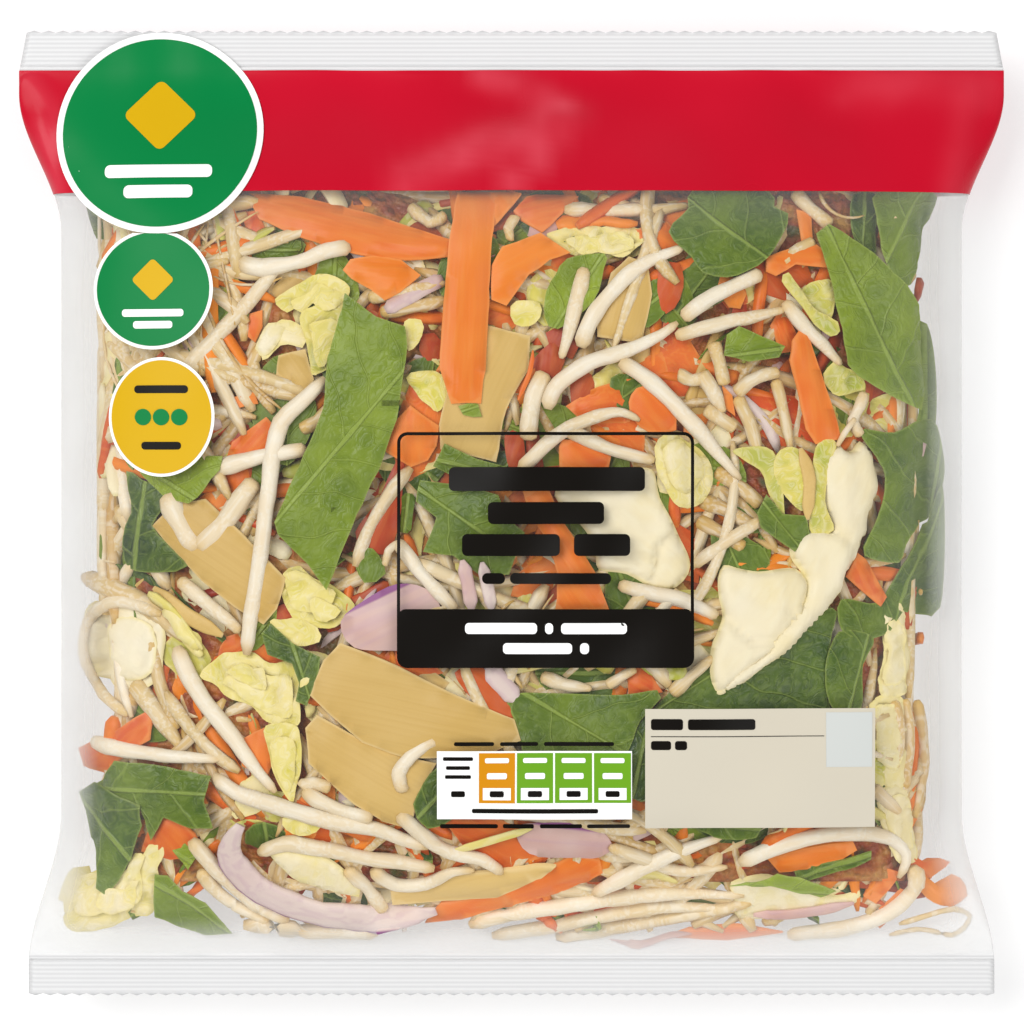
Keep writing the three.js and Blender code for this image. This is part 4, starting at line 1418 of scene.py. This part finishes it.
# depth, width in pixels, and the line that each sprout follows
sprouts = {
    "slabSprout": (0.5, 17, [(238, 262), (262, 267), (298, 261), (327, 250), (350, 246)]),
    "labelSprout": (0.9, 17, [(180, 373), (215, 336), (248, 301), (272, 272), (284, 258)]),
    "longUpright": (0.2, 17, [(325, 378), (300, 403), (281, 421), (273, 450), (266, 505), (258, 568),
        (250, 618), (246, 655)]),
    "acrossLeft": (0.7, 17, [(212, 470), (240, 462), (268, 455), (306, 449)]),
    "fatArm": (0.5, 23, [(166, 494), (178, 520), (190, 541), (199, 549)]),
    "fatArmBack": (0.8, 22, [(197, 549), (214, 533), (236, 505), (254, 480)]),
    "underSlab": (1.0, 15, [(178, 580), (204, 602), (224, 618), (240, 632)]),
    "leftBroad": (2.0, 21, [(80, 578), (113, 590), (145, 605), (168, 626), (187, 642)]),
    "longDiagonal": (0.3, 18, [(176, 647), (187, 675), (204, 703), (230, 735), (254, 768), (275, 793)]),
    "leftShort": (0.4, 16, [(90, 744), (131, 752), (172, 757), (220, 760)]),
    "lowerCurve": (0.6, 18, [(213, 776), (234, 793), (264, 803), (305, 815), (336, 823), (372, 829),
        (405, 841), (428, 848)]),
    "lowerTwo": (1.1, 17, [(258, 854), (285, 845), (326, 851), (370, 860), (405, 864), (434, 870)]),
    "hook": (0.9, 14, [(308, 793), (303, 786), (312, 783), (330, 789)]),
    "hookArm": (0.7, 15, [(303, 790), (318, 801), (346, 813), (372, 819)]),
    "whiteShort": (1.0, 16, [(190, 841), (213, 868), (238, 892), (262, 910), (288, 921)]),
    "bottomLeftThin": (1.2, 14, [(199, 872), (213, 890), (234, 906), (268, 924)]),
    "overBamboo": (0.2, 14, [(403, 793), (398, 774), (411, 756), (427, 745), (437, 741)]),
    "acrossBottom": (0.6, 16, [(398, 814), (427, 840), (448, 853), (481, 860), (502, 874)]),
    "bottomHook": (0.8, 14, [(346, 871), (366, 888), (383, 912)]),
    "bottomCurl": (0.9, 15, [(372, 871), (394, 886), (427, 884), (452, 873), (474, 871)]),
    "titleTail": (0.6, 15, [(396, 541), (420, 573), (438, 592), (456, 612)]),
    "titleLoop": (1.0, 8, [(384, 566), (388, 551), (396, 543), (404, 541)]),
    "titleRight": (0.5, 16, [(619, 585), (655, 594), (681, 600), (718, 616)]),
    "rightLong": (0.3, 17, [(620, 361), (646, 377), (676, 405), (703, 435), (724, 460), (741, 479)]),
    "curved": (0.3, 17, [(581, 347), (590, 322), (606, 298), (630, 273), (655, 258), (684, 247)]),
    "uprightShort": (0.9, 16, [(585, 267), (577, 300), (569, 332), (561, 358)]),
    "archLeft": (0.5, 17, [(548, 409), (552, 392), (565, 378), (590, 362), (617, 354), (642, 344),
        (662, 334), (678, 322)]),
    "archRight": (0.9, 15, [(676, 336), (705, 327), (740, 319), (786, 309)]),
    "diagonalUp": (0.5, 16, [(683, 318), (703, 302), (728, 288), (762, 273)]),
    "rightDown": (0.8, 15, [(785, 301), (806, 327), (825, 345), (842, 364)]),
    "tanBentA": (1.6, 14, [(714, 342), (720, 362), (725, 385)]),
    "tanBentB": (2.0, 14, [(738, 396), (750, 423), (760, 458)]),
    "tanBentC": (2.0, 12, [(776, 379), (784, 409), (792, 452)]),
    "tanCurl": (1.4, 14, [(737, 394), (750, 381), (768, 374), (780, 372)]),
    "whiteBitA": (0.9, 16, [(702, 372), (714, 392), (724, 412)]),
    "whiteBitB": (1.0, 14, [(678, 374), (692, 380), (706, 378)]),
    "whiteBitC": (1.2, 14, [(706, 408), (720, 418), (736, 428)]),
    "titleTopA": (0.8, 15, [(520, 470), (545, 445), (568, 428), (600, 415), (622, 412), (640, 420)]),
    "titleTopB": (1.0, 14, [(566, 430), (590, 440), (620, 452), (655, 460)]),
    "bulbousWhite": (0.8, 19, [(545, 372), (536, 390), (530, 415), (528, 440)]),
    "underTitleA": (1.2, 14, [(541, 677), (565, 685), (592, 689)]),
    "underTitleB": (1.0, 11, [(607, 686), (620, 678), (636, 669)]),
    "underTitleC": (1.6, 14, [(672, 695), (692, 676), (714, 657)]),
    "bottomRightLoop": (0.4, 17, [(740, 864), (770, 851), (803, 840), (846, 834), (879, 836), (900, 845),
        (909, 860), (900, 879)]),
    "bottomRightArc": (0.7, 18, [(914, 868), (918, 886), (890, 914), (846, 929), (788, 936)]),
    "bottomCentreA": (0.6, 17, [(594, 895), (643, 869), (680, 852), (722, 838)]),
    "bottomCentreB": (1.0, 17, [(470, 926), (513, 915), (579, 905), (622, 899), (683, 895), (745, 897)]),
    "bottomCentreC": (1.3, 16, [(492, 937), (557, 927), (622, 914), (680, 908), (735, 912)]),
    "bottomCentreD": (1.6, 16, [(556, 938), (620, 928), (690, 916), (752, 904)]),
    "bottomCentreE": (1.2, 14, [(610, 848), (640, 858), (680, 872), (728, 868)]),
    "panelRight": (1.0, 14, [(874, 788), (886, 800), (902, 814)]),
    "rightSpike": (1.0, 12, [(866, 392), (860, 408), (854, 420), (862, 436)]),
    "thinRoot": (0.5, 6, [(856, 418), (846, 432), (838, 446)]),
    "yellowDiagonal": (1.3, 13, [(694, 566), (712, 552), (738, 535), (762, 520)]),
    "deepRightA": (2.6, 16, [(700, 500), (730, 512), (756, 530)]),
    "deepRightB": (2.8, 15, [(698, 520), (726, 535), (745, 548)]),
    "deepRightC": (2.4, 15, [(716, 470), (742, 488), (762, 505)]),
    "leftRingA": (1.4, 13, [(160, 615), (119, 601), (90, 614), (80, 634), (81, 663), (100, 695),
        (126, 716)]),
    "leftStrip": (1.8, 20, [(132, 684), (156, 715), (181, 750)]),
    "leftStripB": (2.6, 14, [(150, 640), (160, 690), (176, 730)]),
    "edgeLoop": (1.6, 6, [(900, 925), (930, 916), (955, 910), (972, 918), (955, 936), (922, 930),
        (890, 936)]),
    "rightStripA": (2.2, 13, [(896, 702), (902, 735), (898, 770)]),
    "rightStripB": (2.4, 14, [(920, 702), (927, 760), (918, 820)]),
    "rightStripC": (2.6, 12, [(908, 700), (912, 740), (908, 790)]),
    "topSproutsA": (2.0, 13, [(410, 205), (430, 222), (446, 214)]),
    "topSproutsB": (1.6, 11, [(516, 215), (508, 228), (510, 240)]),
    "topRightA": (1.6, 14, [(795, 190), (812, 208), (832, 224)]),
    "topRightB": (1.8, 13, [(783, 262), (800, 248), (815, 240)]),
    "topRightC": (2.4, 15, [(600, 196), (640, 210), (690, 204)]),
    "midLeftA": (2.2, 15, [(368, 297), (405, 290), (446, 282)]),
    "midLeftB": (2.6, 15, [(380, 312), (412, 306), (446, 300)]),
    "midLeftC": (2.0, 13, [(262, 345), (252, 362), (260, 384)]),
    "midLeftD": (2.4, 14, [(300, 430), (318, 420), (330, 402)]),
}
strips = {  # onion rings, stems and shreds: kind, depth, width, tint, line
    "onionRing": ("onion", -0.2, 33, 0.6, [(240, 826), (229, 846), (236, 868), (258, 889), (292, 906),
        (330, 916), (372, 919), (405, 917), (436, 912)]),
    "titleOnionA": ("onion", 1.0, 14, 0.3, [(462, 560), (468, 585), (472, 612)]),
    "titleOnionB": ("onion", 1.2, 13, 0.8, [(482, 562), (488, 588), (492, 612)]),
    "underTitleOnion": ("onion", 1.6, 20, 0.6, [(486, 667), (500, 682), (518, 702)]),
    "bottomPurple": ("onion", 1.0, 9, 0.0, [(610, 940), (640, 945), (670, 936), (692, 934)]),
    "bottomPurpleB": ("onion", 1.4, 12, 0.0, [(754, 916), (805, 914), (855, 904)]),
    "limeStem": ("bamboo", 0.8, 13, 0.9, [(801, 448), (810, 480), (808, 520)]),
    "paleRib": ("cabbage", 1.3, 9, 0.5, [(313, 660), (308, 676), (300, 688)]),
    "factsShred": ("cabbage", 1.4, 9, 0.5, [(452, 852), (492, 841), (532, 829)]),
    "redSliverA": ("carrot", 1.4, 5, 0.4, [(518, 400), (530, 372), (533, 350)]),
    "bambooShred": ("bamboo", 2.6, 16, 0.8, [(152, 588), (180, 612), (222, 636)]),
}


# shreds lying side by side: kind, how many, half width, depths, tints, spread, and the line they follow
bundles = {
    "rightUpper": ("cabbage", 9, 2.0, (0.5, 2.6), (0.0, 0.34), 15, [(912, 608), (916, 645), (926, 694)]),
    "rightMiddle": ("cabbage", 10, 2.3, (0.5, 2.8), (0.0, 0.4), 17, [(906, 682), (912, 735), (925, 784)]),
    "rightLower": ("cabbage", 9, 2.1, (0.5, 2.8), (0.0, 0.3), 16, [(912, 766), (922, 804), (932, 848)]),
    "rightSprouts": ("sprout", 7, 1.9, (0.7, 2.6), (0.7, 1.0), 17, [(898, 700), (908, 770), (922, 836)]),
    "rightYellow": ("cabbage", 7, 1.6, (0.6, 2.6), (0.3, 0.6), 17, [(905, 620), (915, 740), (930, 848)]),
    "upperOrange": ("carrot", 8, 2.0, (1.8, 3.2), (0.3, 0.9), 26, [(520, 250), (600, 240), (690, 250)]),
    "rightCorner": ("cabbage", 6, 1.9, (0.6, 2.4), (0.0, 0.5), 12, [(914, 872), (938, 890), (962, 908)]),
    "rightLoops": ("cabbage", 5, 1.0, (0.6, 2.2), (0.2, 0.4), 7, [(900, 922), (935, 914), (970, 928)]),
    "leftField": ("sprout", 6, 2.1, (1.4, 3.0), (0.6, 1.0), 28, [(95, 600), (135, 640), (175, 706)]),
    "leftFieldShreds": ("cabbage", 6, 2.2, (1.6, 3.2), (0.0, 0.2), 28, [(90, 640), (120, 680), (155, 722)]),
    "leftYellow": ("cabbage", 6, 1.9, (1.0, 2.4), (0.3, 0.55), 13, [(135, 590), (160, 610), (200, 655)]),
    "bottomPale": ("sprout", 9, 2.0, (1.2, 3.2), (0.7, 1.0), 18, [(560, 922), (660, 914), (760, 918)]),
    "bottomPaleLeft": ("sprout", 5, 1.8, (1.4, 3.0), (0.6, 1.0), 16, [(250, 925), (320, 932), (420, 930)]),
    "bottomRight": ("cabbage", 6, 3.0, (1.2, 3.0), (0.0, 0.1), 16, [(770, 900), (830, 915), (880, 908)]),
    "upperPale": ("sprout", 4, 1.6, (2.0, 3.2), (0.5, 0.9), 22, [(540, 205), (600, 212), (690, 205)]),
    "upperRightSprouts": ("sprout", 14, 1.7, (1.4, 3.6), (0.0, 0.5), 26,
        [(700, 380), (745, 430), (790, 500)]),
    "labelSide": ("sprout", 7, 1.5, (1.4, 3.2), (0.1, 0.6), 24, [(215, 300), (245, 370), (250, 440)]),
    "leftEdgePale": ("cabbage", 5, 2.0, (1.0, 3.0), (0.0, 0.3), 9, [(102, 350), (106, 420), (112, 480)]),
    "bottomOrange": ("carrot", 7, 1.8, (1.6, 3.4), (0.2, 0.8), 24, [(640, 880), (760, 870), (880, 880)]),
    "bottomGreens": ("green", 4, 1.6, (1.8, 3.4), (0.3, 0.9), 22, [(700, 880), (780, 872), (860, 880)]),
}


def layBundles(chance):
    for kind, count, half, depths, tints, spread, middle in bundles.values():
        flat = [Vector(p) for p in middle]
        for _ in range(count):
            start = chance.uniform(-0.1, 0.5)
            end = min(1.15, start + chance.uniform(0.4, 0.9))
            shift = Vector((chance.gauss(0, 0.5), chance.gauss(0, 0.5))) * spread
            lean = Vector((chance.gauss(0, 0.3), chance.gauss(0, 0.3))) * spread
            line = []
            for step in range(6):
                t = mixed(start, end, step / 5)
                a, b = (flat[0], flat[1]) if t < 0.5 else (flat[1], flat[2])
                spot = a.lerp(b, t * 2 - (0 if t < 0.5 else 1))
                shake = Vector((chance.gauss(0, 1.2), chance.gauss(0, 1.2)))
                line.append(spot + shift + lean * (t - 0.5) + shake)
            depth = chance.uniform(*depths)
            line = rounded([Vector(seenAt(*p)).to_3d() for p in line], 2.0)
            if not isOpen(line):
                continue
            for step, p in enumerate(line):
                p.z = overBag
                line[step] = settled(p, half * 0.7, depth + 0.8 * math.sin(step * 0.5 + depth * 9))
            addLoose(kind, line, half * chance.uniform(0.6, 1.25), chance.uniform(*tints), chance)


def stemWidths(half, chance):  # how a sprout's half width runs from end to end
    tail = 0.5 if chance.random() < 0.3 else chance.uniform(0.72, 0.95)
    start = chance.uniform(0.8, 1.0)
    swell = chance.uniform(0.0, 0.12)

    def widthAt(t):
        body = mixed(start, 1.0, smooth(t, 0, 0.25)) * mixed(1.0, tail, smooth(t, 0.55, 1.0))
        tip = min(1.0, 0.55 + 12 * t, 0.5 + 14 * (1 - t))
        return half * body * tip * (1 + swell * math.sin(9 * t))

    return widthAt


def taperedEnds(half, least, slope):  # full width but for the ends
    return lambda t: half * min(1.0, least + slope * t, least + slope * (1 - t))


def layPlacedStrands(chance):
    for under, width, line in sprouts.values():
        half = width * view["pixel"] / 2
        # painted shade: the deeper a sprout lies, the darker its tint
        tint = mixed(1.0, 0.3, share(under, 0.4, 2.4))  # deeper ones are darker
        middle = lineSeen(line, under + half * 0.9)
        addStrand("sprout", middle, stemWidths(half, chance), flat=0.9, tint=tint, sides=10, rings=24)
    for kind, under, width, tint, line in strips.values():
        half = width * view["pixel"] / 2
        middle = lineSeen(line, under + half * 0.3)
        addStrand(kind, middle, taperedEnds(half, 0.3, 3.6), flat=0.35, square=0.7, tint=tint, sides=12,
            rings=28)


# loose strands, laid at random: half width, length, flatness, squareness and bend
strandForms = {
    "sprout": ((1.35, 2.15), (18, 62), (0.85, 1.0), 1.0, 1.3),
    "cabbage": ((1.2, 3.0), (10, 30), (0.22, 0.4), 0.8, 1.6),
    "carrot": ((0.9, 2.2), (10, 36), (0.5, 0.8), 0.5, 0.4),
    "green": ((1.6, 3.4), (8, 26), (0.08, 0.14), 0.7, 0.7),
    "bamboo": ((1.6, 3.0), (10, 24), (0.3, 0.5), 0.5, 0.2),
    "onion": ((1.2, 2.4), (12, 34), (0.3, 0.45), 0.6, 1.6),
    "pepper": ((1.4, 3.0), (10, 24), (0.3, 0.5), 0.6, 0.7),
    "root": ((0.28, 0.6), (12, 44), (0.8, 1.0), 1.0, 3.0),
}
scatter = {
    "seed": 20,
    "upper": {"sprout": 74, "root": 46, "cabbage": 44, "carrot": 24, "green": 10, "onion": 6},
    "lower": {"sprout": 210, "cabbage": 100, "carrot": 150, "green": 70, "bamboo": 14, "onion": 14,
        "pepper": 50},
    "bottom": {"sprout": 60, "carrot": 26, "green": 10, "cabbage": 20, "onion": 6},
    "round": {"sprout": 150, "cabbage": 60, "carrot": 34, "green": 40, "onion": 10, "pepper": 6},
    "upperDepth": (0.9, 2.6),
    "lowerDepth": (3.5, 6.6),
}
# loose flat bits: how many, their size, thickness, and how much longer than wide
flatBits = {
    "green": {"count": 76, "size": (3.0, 9.0), "thick": 0.5, "stretch": 1.5},
    "carrot": {"count": 78, "size": (2.6, 7.5), "thick": 1.8, "stretch": 1.9},
    "cabbage": {"count": 80, "size": (3.0, 8.0), "thick": 0.9, "stretch": 1.4, "crumple": 1.6},
    "bamboo": {"count": 10, "size": (3.0, 6.0), "thick": 1.8, "stretch": 1.5},
    "pepper": {"count": 56, "size": (3.0, 7.0), "thick": 1.4, "stretch": 1.4},
    "onion": {"count": 18, "size": (2.6, 5.0), "thick": 1.2, "stretch": 1.6},
}


def looseLine(x, y, heading, length, bend, chance):  # ten points, bending evenly one way
    line = [Vector((x, y, 0))]
    steps = 9
    turn = chance.uniform(-bend, bend)
    for _ in range(steps):
        line.append(line[-1] + Vector((math.cos(heading), math.sin(heading), 0)) * (length / steps))
        heading += turn / steps
    return line


def addLoose(kind, line, half, tint, chance):  # with the kind's own section, rolled and twisted
    _, _, flats, square, _ = strandForms[kind]
    widthAt = stemWidths(half, chance) if kind in ("sprout", "root") else taperedEnds(half, 0.5, 6)
    roll, twist = chance.uniform(-0.5, 0.5), chance.uniform(-1.2, 1.2)
    heap = "sprout" if kind == "root" else kind
    addStrand(heap, line, widthAt, chance.uniform(*flats), square, tint, 6, 10, roll, twist)


def scatterFront(chance, counts, depths, openOnly, upTo=82):
    for kind, count in counts.items():
        widths, lengths, _, _, bend = strandForms[kind]
        laid = tries = 0
        while laid < count and tries < 40 * count:
            tries += 1
            half = chance.uniform(*widths)
            start, end = chance.uniform(*depths), chance.uniform(*depths)
            x, y, heading = chance.uniform(-97, 97), chance.uniform(-99, upTo), chance.uniform(0, math.tau)
            line = looseLine(x, y, heading, chance.uniform(*lengths), bend, chance)
            last, middle = line[-1], line[5]
            isThin = roomAt(middle.x, middle.y) < 12
            if abs(last.x) > 98 or not -99 < last.y < 84 or ((openOnly or isThin) and not isOpen(line)):
                continue
            for step, p in enumerate(line):
                p.z = overBag
                line[step] = settled(p, half * 0.8, mixed(start, end, step / 9))
            middle = line[5]
            edgewise = smooth(abs(middle.x) / halfWidthAt(middle.y), 0.7, 0.92)
            rimward = max(edgewise, smooth(middle.y, -60, -88))
            # painted light and shade: deeper strands get a darker tint, and those towards the rim a paler
            # one
            paintedLight = min(1.2, 1 - share((start + end) / 2, 0.5, 6.5) + 0.5 * rimward)
            if kind == "sprout":
                tint = chance.uniform(0.0, 0.42) + 0.42 * paintedLight
            elif kind == "root":
                tint = chance.uniform(0.1, 0.4) + 0.5 * edgewise
            elif kind == "cabbage":
                tint = chance.random() * mixed(1.0, 0.3, rimward)
            else:
                tint = chance.random() * (0.75 if kind == "green" else 1.0)
            addLoose(kind, line, half, tint, chance)
            laid += 1


def scatterFlat(chance):  # bits under the first layer
    for kind, look in flatBits.items():
        for _ in range(look["count"]):
            x, y = chance.uniform(-93, 93), chance.uniform(-96, 80)
            size, heading = chance.uniform(*look["size"]), chance.uniform(0, math.tau)
            along = Vector((math.cos(heading), math.sin(heading)))
            across = Vector((-along.y, along.x))
            corners = []
            for corner in range(6):
                angle = math.tau * (corner + chance.uniform(-0.25, 0.25)) / 6
                reach = size * chance.uniform(0.7, 1.15)
                lengthwise = along * (math.cos(angle) * reach * look["stretch"])
                corners.append(Vector((x, y)) + lengthwise + across * (math.sin(angle) * reach))
            widest = halfWidthAt(y) - contentsGap(y) - 1
            for p in corners:
                p.x, p.y = min(widest, max(-widest, p.x)), min(82.0, max(-98.0, p.y))
            shape = {
                "thick": look["thick"],
                "bevelled": look["thick"] * 0.45,
                "under": chance.uniform(3.6, 5.6),
                "bend": 0.8,
                "crumple": look.get("crumple", 0.0),
                "cell": 2.6,
                "rib": [corners[3], corners[0]],
                "seed": chance.uniform(0, 90),
                "tint": chance.random() * 0.9,
                "fade": 0.3,
            }
            if kind in ("cabbage", "green", "onion"):
                outline = rounded(corners, 2.6, closed=True)
            else:
                outline = straightEdged(corners, 3.0, 1.0)
            covered = any(cellOf(p.x, p.y) in taken for p in outline)
            if (outline[0] - outline[len(outline) // 2]).length > 3 and not (covered and roomAt(x, y) < 16):
                addSlab(kind, outline, shape)


def scatterRound(chance):  # the sides and the back
    for kind, count in scatter["round"].items():
        widths, lengths, _, _, bend = strandForms[kind]
        for number in range(count):
            half, length = chance.uniform(*widths), chance.uniform(*lengths)
            heading, inward = chance.uniform(0, math.tau), chance.uniform(1.0, 4.4)
            y = chance.uniform(-94, 78)
            if number % 2:  # on a side, below the front
                y = max(y, -86 + abs(math.cos(heading)) * length / 2)
                side = 1 if number % 4 == 1 else -1
                z = chance.uniform(4, 25)
                line = []
                for step in range(10):
                    off = (step / 9 - 0.5) * length
                    point = Vector((0, y + math.cos(heading) * off, z + math.sin(heading) * off * 0.4))
                    line.append(againstSide(point, side, inward + half))
            else:
                line = looseLine(chance.uniform(-92, 92), y, heading, length, bend, chance)
                for p in line:
                    p.z = contentsBottom(p.x, p.y) + inward + half
                line = [settled(p, half * 0.8, 2.5) for p in line]
            middle = line[5]
            if not isOpen(line) and (roomAt(middle.x, middle.y) < 14 or middle.y < -58):
                continue
            addLoose(kind, line, half, chance.random(), chance)


def againstSide(point, side, inward):  # on the contents' flank at this height
    y = min(fill["upTo"], max(fill["from"], point.y))
    full = fullnessAt(y)
    rise = max(1.0, bag["frontRise"] * full)
    drop = max(1.0, bag["backDrop"] * full)
    z = point.z - bag["sealHeight"]
    z = min(rise * 0.4, max(-drop * 0.85, z))
    power, reach = (bag["frontPower"], rise) if z > 0 else (bag["backPower"], drop)
    across = (1 - (abs(z) / reach) ** power) ** (1 / power)
    return Vector((side * ((halfWidthAt(y) - contentsGap(y)) * across - inward), y, z + bag["sealHeight"]))


pieceNames = {
    "sprout": "bean_sprouts",
    "carrot": "carrot_slices",
    "green": "green_leaves",
    "cabbage": "cabbage_pieces",
    "bamboo": "bamboo_slices",
    "onion": "red_onion",
    "pepper": "red_pepper",
}


def buildVegetables():
    chance = random.Random(scatter["seed"])
    core = pillow(segments=72, rows=48, sideGap=15.0, topGap=8.0, bottomGap=7.0, reach=86.0)
    keepPiece("contents_core", core, [coreMaterial()], "vegetables")
    layPlacedSlabs()
    layPlacedStrands(chance)
    layBundles(chance)
    scatterFront(chance, scatter["upper"], scatter["upperDepth"], True)
    scatterFront(chance, scatter["lower"], scatter["lowerDepth"], False)
    scatterFront(chance, scatter["bottom"], scatter["lowerDepth"], False, upTo=-66)
    scatterFlat(chance)
    scatterRound(chance)
    for kind, heap in heaps.items():
        # painted light: the glow mask rises towards the bag's rim and fades out low down
        paintedRimGlow = heap.bm.verts.layers.float.new("paintedRimGlow")
        for vert in heap.bm.verts:
            x, y, z = vert.co
            rimward = max(smooth(abs(x) / halfWidthAt(y), 0.76, 0.94), smooth(y, -72, -94))
            vert[paintedRimGlow] = rimward * smooth(z, bag["sealHeight"] - 6, bag["sealHeight"] + 4)
        keepPiece(pieceNames[kind], heap.bm, [vegetableMaterials[kind]], "vegetables")


def buildFloor():
    bm = bmesh.new()
    bmesh.ops.create_grid(bm, x_segments=1, y_segments=1, size=3)
    mesh = bpy.data.meshes.new("floor")
    bm.to_mesh(mesh)
    bm.free()
    material, tree = newMaterial("paleFloor")
    glow = {"Emission Color": (1, 1, 1, 1), "Emission Strength": 0.48}
    finishMaterial(tree, {"Base Color": (0.5, 0.5, 0.5, 1), "Roughness": 0.8, **glow})
    mesh.materials.append(material)
    floor = bpy.data.objects.new("floor", mesh)
    bpy.context.scene.collection.objects.link(floor)


lights = {
    "world": 0.42,
    "key": {"place": (-0.9, 0.5, 1.6), "size": 1.3, "power": 30.0},
    "fill": {"place": (1.3, -0.8, 1.5), "size": 1.5, "power": 22.0},
}


def buildLights():
    scene = bpy.context.scene
    scene.view_settings.view_transform = "Standard"
    scene.view_settings.look = "None"
    world = bpy.data.worlds.new("studio")
    scene.world = world
    world.use_nodes = True
    background = world.node_tree.nodes["Background"]
    background.inputs["Color"].default_value = (1, 1, 1, 1)
    background.inputs["Strength"].default_value = lights["world"]
    for name in ("key", "fill"):
        look = lights[name]
        data = bpy.data.lights.new(name, "AREA")
        data.size = look["size"]
        data.energy = look["power"]
        made = bpy.data.objects.new(name, data)
        made.location = look["place"]
        made.rotation_euler = (-Vector(look["place"])).to_track_quat("-Z", "Y").to_euler()
        scene.collection.objects.link(made)


buildCamera()
band = buildFilm()
buildBand(band)
buildTitle()
buildFacts()
buildDatePanel()
buildRoundLabels()
print("film and print made")
buildVegetables()
print("vegetables laid")
buildFloor()
buildLights()
